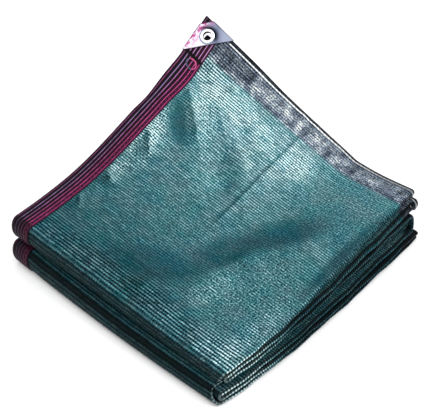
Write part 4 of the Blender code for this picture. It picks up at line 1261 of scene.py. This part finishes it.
# The dull line along the rolled edge is painted shade.
EDGE_LINE = 1.7 * MM             # width of the dull line along its rolled edge
UNDER_ROLL = 0.15 * MM
PLATE_HOLE = 7.0 * MM
PRESS_RADIUS = 11.6 * MM
PRESS_WIDTH = 1.3 * MM
PRESS_DEPTH = 0.28 * MM
PRESS_END = 0.15                 # last share of the way to the edge, over which it runs out
PLATE_ANGLES = 180
CORNER_STEPS = 5
ROLL_STEPS = 3
PLATE_SHARP = 50                 # degrees between faces past which an edge is sharp

across_plate = unit(np.array((1.0, 0.0, PLANE_SLOPE_X)))
along_plate = np.cross(corner_normal, across_plate)
plate_x, plate_y = X_BOUND - PLATE_OVERHANG, Y_SELVEDGE + PLATE_OVERHANG
plate_corners = []
for leg_x, leg_y in ((PLATE_TIP_CUT, 0.0), (0.0, PLATE_TIP_CUT), (0.0, PLATE_LEG), (PLATE_LEG, 0.0)):
    corner_x, corner_y = plate_x + leg_x, plate_y - leg_y
    offset = np.array((corner_x, corner_y, plane_height(corner_x, corner_y))) - eyelet_centre
    plate_corners.append(np.array((offset @ across_plate, offset @ along_plate)))


def rounded(corners, radius):
    """A polygon's corners, each rounded by a short curve."""
    outline = []
    for i, corner in enumerate(corners):
        before = unit(corners[i - 1] - corner) * radius
        after = unit(corners[(i + 1) % len(corners)] - corner) * radius
        for step in range(CORNER_STEPS + 1):
            share = step / CORNER_STEPS
            outline.append(corner + before * (1 - share) ** 2 + after * share ** 2)
    return np.array(outline)


def rays_at(angles):
    """Unit vectors in the plate's plane."""
    return np.stack([np.cos(angles), np.sin(angles)], -1)


TINY = 1e-9                      # slack for a ray through a corner of the outline


def reach_to(outline, rays):
    """Distance from the eyelet's axis to the outline in each direction."""
    reach = np.full(len(rays), np.inf)
    for start, end in zip(outline, np.roll(outline, -1, axis=0)):
        edge = end - start
        with np.errstate(divide="ignore", invalid="ignore"):
            cross = rays[:, 0] * edge[1] - rays[:, 1] * edge[0]
            distance = (start[0] * edge[1] - start[1] * edge[0]) / cross
            share = (start[0] * rays[:, 1] - start[1] * rays[:, 0]) / cross
        meets = (distance > 0) & (share >= -TINY) & (share <= 1 + TINY)
        reach = np.where(meets, np.minimum(reach, distance), reach)
    return reach


plate_outline = rounded(plate_corners, PLATE_ROUNDING)
even_angles = np.linspace(-math.pi, math.pi, PLATE_ANGLES, endpoint=False)
rays = rays_at(np.sort(np.concatenate([np.arctan2(plate_outline[:, 1], plate_outline[:, 0]), even_angles])))
plate_reach = reach_to(plate_outline, rays)

plate_top = PLATE_UNDER + PLATE_THICK
plate_rings = []
for share in (0.0, 0.2, 0.3, 0.4, 0.5, 0.6, 0.7, 0.8, 0.9, 1.0):
    radius = mix(PLATE_HOLE, plate_reach - EDGE_LINE, share)
    groove = PRESS_DEPTH * np.exp(-((radius - PRESS_RADIUS) / PRESS_WIDTH) ** 2)
    plate_rings.append((radius, plate_top - groove * smooth((1.0 - share) / PRESS_END)))
top_rings = len(plate_rings)
for step in range(ROLL_STEPS + 1):
    angle = math.pi / 2 * step / ROLL_STEPS
    plate_rings.append((plate_reach - EDGE_ROLL * (1 - math.sin(angle)),
                        plate_top - EDGE_ROLL * (1 - math.cos(angle))))
plate_rings += [(plate_reach, PLATE_UNDER + UNDER_ROLL), (plate_reach - UNDER_ROLL, PLATE_UNDER),
                (PLATE_HOLE, PLATE_UNDER)]


def ringed_mesh(name, rings, directions, sharp_past, edge_from):
    """A closed ring-shaped mesh about the eyelet's axis, from rings of (radius, height).

    Rings from edge_from on are marked as its edge.
    """
    points = []
    for radius, height in rings:
        flat = directions * np.broadcast_to(radius, len(directions))[:, None]
        points.append(eyelet_centre + flat[:, :1] * across_plate + flat[:, 1:] * along_plate
                      + np.broadcast_to(height, len(directions))[:, None] * corner_normal)
    points = np.array(points)
    index = np.arange(points.shape[0] * points.shape[1]).reshape(points.shape[:2])
    out, side = np.roll(index, -1, axis=0), np.roll(index, -1, axis=1)
    faces = np.stack([index, out, np.roll(out, -1, axis=1), side], -1).reshape(-1, 4)
    mesh = bpy.data.meshes.new(name)
    mesh.from_pydata(placed(points), [], faces.tolist())
    on_edge = np.repeat(np.arange(len(rings)) >= edge_from, points.shape[1])
    edge = mesh.attributes.new("edge", "FLOAT", "POINT")
    edge.data.foreach_set("value", on_edge.astype(np.float32))
    mesh.shade_smooth()
    mesh.set_sharp_from_angle(angle=math.radians(sharp_past))
    return add_object(name, mesh)


plate = ringed_mesh("corner_plate_pressed", plate_rings, rays, PLATE_SHARP, top_rings)


def about_eyelet(tree):
    """Millimetres about the eyelet's axis, in the plate's plane: the place, its parts, its distance."""
    place = node(tree, "ShaderNodeTexCoord").outputs["Object"]
    centre = Vector(placed(eyelet_centre)[0])
    offset = node(tree, "ShaderNodeVectorMath", {"operation": "SUBTRACT"}, i0=place, i1=centre)
    offset = node(tree, "ShaderNodeVectorMath", {"operation": "SCALE"}, i0=offset, Scale=1 / MM)
    sideways = node(tree, "ShaderNodeVectorMath", {"operation": "DOT_PRODUCT"}, i0=offset,
                    i1=Vector(across_plate))
    upways = node(tree, "ShaderNodeVectorMath", {"operation": "DOT_PRODUCT"}, i0=offset,
                  i1=Vector(along_plate))
    flat = node(tree, "ShaderNodeCombineXYZ", X=sideways, Y=upways)
    distance = node(tree, "ShaderNodeVectorMath", {"operation": "LENGTH"}, i0=flat)
    return flat, sideways, upways, distance


# Rolled aluminium sheet: silvery, brushed by the rollers in fine lines along one way. Its
# colour holds painted reflection and shade: pale on the binding's side and darker slate towards
# the hem, a painted pink reflection of the binding on that side, painted shade above the eyelet,
# a painted grey line round it on one side, and painted shade along its rolled edge. Its
# distances are in millimetres.
plate_alloy, tree, shader = new_material("rolled aluminium plate")
flat, sideways, upways, distance = about_eyelet(tree)
toward_hem = node(tree, "ShaderNodeMath", {"operation": "ADD"}, i0=sideways, i1=upways)
over_plate = node(tree, "ShaderNodeMapRange", Value=toward_hem, From_Min=-30.0, From_Max=34.0)
plate_colour = ramp(tree, over_plate, (
    (0.0, "#CCC8D4"), (0.36, "#C8C6D2"), (0.56, "#868CA4"), (0.8, "#6C7288"), (1.0, "#8A90A4")))
pink_reflection = node(tree, "ShaderNodeTexNoise", Vector=flat, Scale=0.16, Detail=3.0, Distortion=0.8)
pink_reflection = node(tree, "ShaderNodeMapRange", {"interpolation_type": "SMOOTHSTEP"}, Value=pink_reflection,
              From_Min=0.42, From_Max=0.58)
by_binding = node(tree, "ShaderNodeMapRange", Value=sideways, From_Min=-3.0, From_Max=-14.0)
pink_reflection = node(tree, "ShaderNodeMath", {"operation": "MULTIPLY"}, i0=pink_reflection, i1=by_binding)
plate_colour = node(tree, "ShaderNodeMix", {"data_type": "RGBA"}, i0=pink_reflection, i6=plate_colour,
                    i7=linear("#A84C84"))
ring_shade = node(tree, "ShaderNodeMapRange", {"interpolation_type": "SMOOTHSTEP"}, Value=distance,
                  From_Min=19.5, From_Max=12.0)
ring_side = node(tree, "ShaderNodeMapRange", {"interpolation_type": "SMOOTHSTEP"}, Value=upways,
                 From_Min=-5.0, From_Max=7.0)
ring_shade = node(tree, "ShaderNodeMath", {"operation": "MULTIPLY"}, i0=ring_shade, i1=ring_side)
plate_colour = node(tree, "ShaderNodeMix", {"data_type": "RGBA"}, i0=ring_shade, i6=plate_colour,
                    i7=linear("#10141F"))
ring_line = node(tree, "ShaderNodeMapRange", {"interpolation_type": "SMOOTHSTEP"}, Value=distance,
                 From_Min=12.7, From_Max=11.9)
near_side = node(tree, "ShaderNodeMapRange", {"interpolation_type": "SMOOTHSTEP"}, Value=toward_hem,
                 From_Min=4.0, From_Max=-8.0)
ring_line = node(tree, "ShaderNodeMath", {"operation": "MULTIPLY"}, i0=ring_line, i1=near_side)
plate_colour = node(tree, "ShaderNodeMix", {"data_type": "RGBA"}, i0=ring_line, i6=plate_colour,
                    i7=linear("#6C7890"))
rolled_edge_shade = node(tree, "ShaderNodeAttribute", {"attribute_name": "edge"})
plate_colour = node(tree, "ShaderNodeMix", {"data_type": "RGBA"}, i0=rolled_edge_shade.outputs["Fac"],
                    i6=plate_colour, i7=linear("#14161E"))
tree.links.new(plate_colour.outputs[2], shader.inputs["Base Color"])
brushed = node(tree, "ShaderNodeMapping", Vector=flat, Scale=(0.25, 7.0, 1.0))
brushed = node(tree, "ShaderNodeTexNoise", Vector=brushed, Scale=1.0, Detail=3.0)
rough = node(tree, "ShaderNodeMapRange", Value=brushed, From_Min=0.3, From_Max=0.7, To_Min=0.46,
             To_Max=0.62)
tree.links.new(rough.outputs[0], shader.inputs["Roughness"])
rolled = node(tree, "ShaderNodeBump", Height=brushed, Strength=0.12, Distance=0.05 * MM)
tree.links.new(rolled.outputs[0], shader.inputs["Normal"])
shader.inputs["Metallic"].default_value = 1.0
plate.data.materials.append(plate_alloy)
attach(plate, "root")
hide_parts("corner_plate")

# ---------------------------------------------------------------- eyelet
# A two-part aluminium eyelet, die-struck: its barrel goes through plate, tape and net, the
# rim above is rolled over in a half round, and a flat washer closes it below.

EYELET_HOLE = 6.5 * MM
EYELET_WALL = 0.6 * MM
EYELET_RIM = 10.8 * MM
EYELET_TOP = 3.35 * MM
EYELET_CREST = 4.35 * MM
WASHER_TOP = -2.2 * MM
WASHER_THICK = 0.7 * MM
EYELET_CHAMFER = 0.3 * MM
RIM_CHAMFER = 0.2 * MM
RIM_LIP = 0.25 * MM
RIM_STEPS = 14
RIM_FULLNESS = 0.8               # under 1, the half round is squarer
EYELET_SIDES = 96
EYELET_SHARP = 45                # degrees

eyelet_rings = []
rim_middle, rim_half = (EYELET_HOLE + EYELET_RIM) / 2, (EYELET_RIM - EYELET_HOLE) / 2
for step in range(RIM_STEPS + 1):
    angle = math.pi * (1 - step / RIM_STEPS)
    eyelet_rings.append((rim_middle + rim_half * math.cos(angle),
                         EYELET_TOP + (EYELET_CREST - EYELET_TOP) * math.sin(angle) ** RIM_FULLNESS))
rim_under, washer_under = EYELET_TOP - RIM_CHAMFER, WASHER_TOP - WASHER_THICK
barrel = EYELET_HOLE + EYELET_WALL
eyelet_rings += [(EYELET_RIM - RIM_LIP, rim_under), (barrel, rim_under), (barrel, WASHER_TOP),
                 (EYELET_RIM - RIM_CHAMFER, WASHER_TOP), (EYELET_RIM, WASHER_TOP - RIM_CHAMFER),
                 (EYELET_RIM - RIM_CHAMFER, washer_under), (EYELET_HOLE + EYELET_CHAMFER, washer_under),
                 (EYELET_HOLE, washer_under + EYELET_CHAMFER)]
eyelet = ringed_mesh("eyelet_struck", eyelet_rings, rays_at(circle(EYELET_SIDES)), EYELET_SHARP,
                     len(eyelet_rings))

# Struck aluminium: bright and smooth on the rim, with fine turning marks, and painted shade
# in the bore.
# Its distances are in millimetres too.
eyelet_alloy, tree, shader = new_material("struck aluminium eyelet")
*_, distance = about_eyelet(tree)
bore = node(tree, "ShaderNodeMapRange", {"interpolation_type": "SMOOTHSTEP"}, Value=distance,
            From_Min=7.2, From_Max=6.6)
eyelet_colour = node(tree, "ShaderNodeMix", {"data_type": "RGBA"}, i0=bore, i6=linear("#FFFFFF"),
                     i7=linear("#0C0A0E"))
tree.links.new(eyelet_colour.outputs[2], shader.inputs["Base Color"])
turned_marks = node(tree, "ShaderNodeTexNoise", {"noise_dimensions": "1D"}, W=distance, Scale=5.0,
                    Detail=2.0)
marks = node(tree, "ShaderNodeBump", Height=turned_marks, Strength=0.15, Distance=0.05 * MM)
tree.links.new(marks.outputs[0], shader.inputs["Normal"])
shader.inputs["Metallic"].default_value = 1.0
shader.inputs["Roughness"].default_value = 0.32
eyelet.data.materials.append(eyelet_alloy)
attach(eyelet, "root")
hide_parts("eyelet")
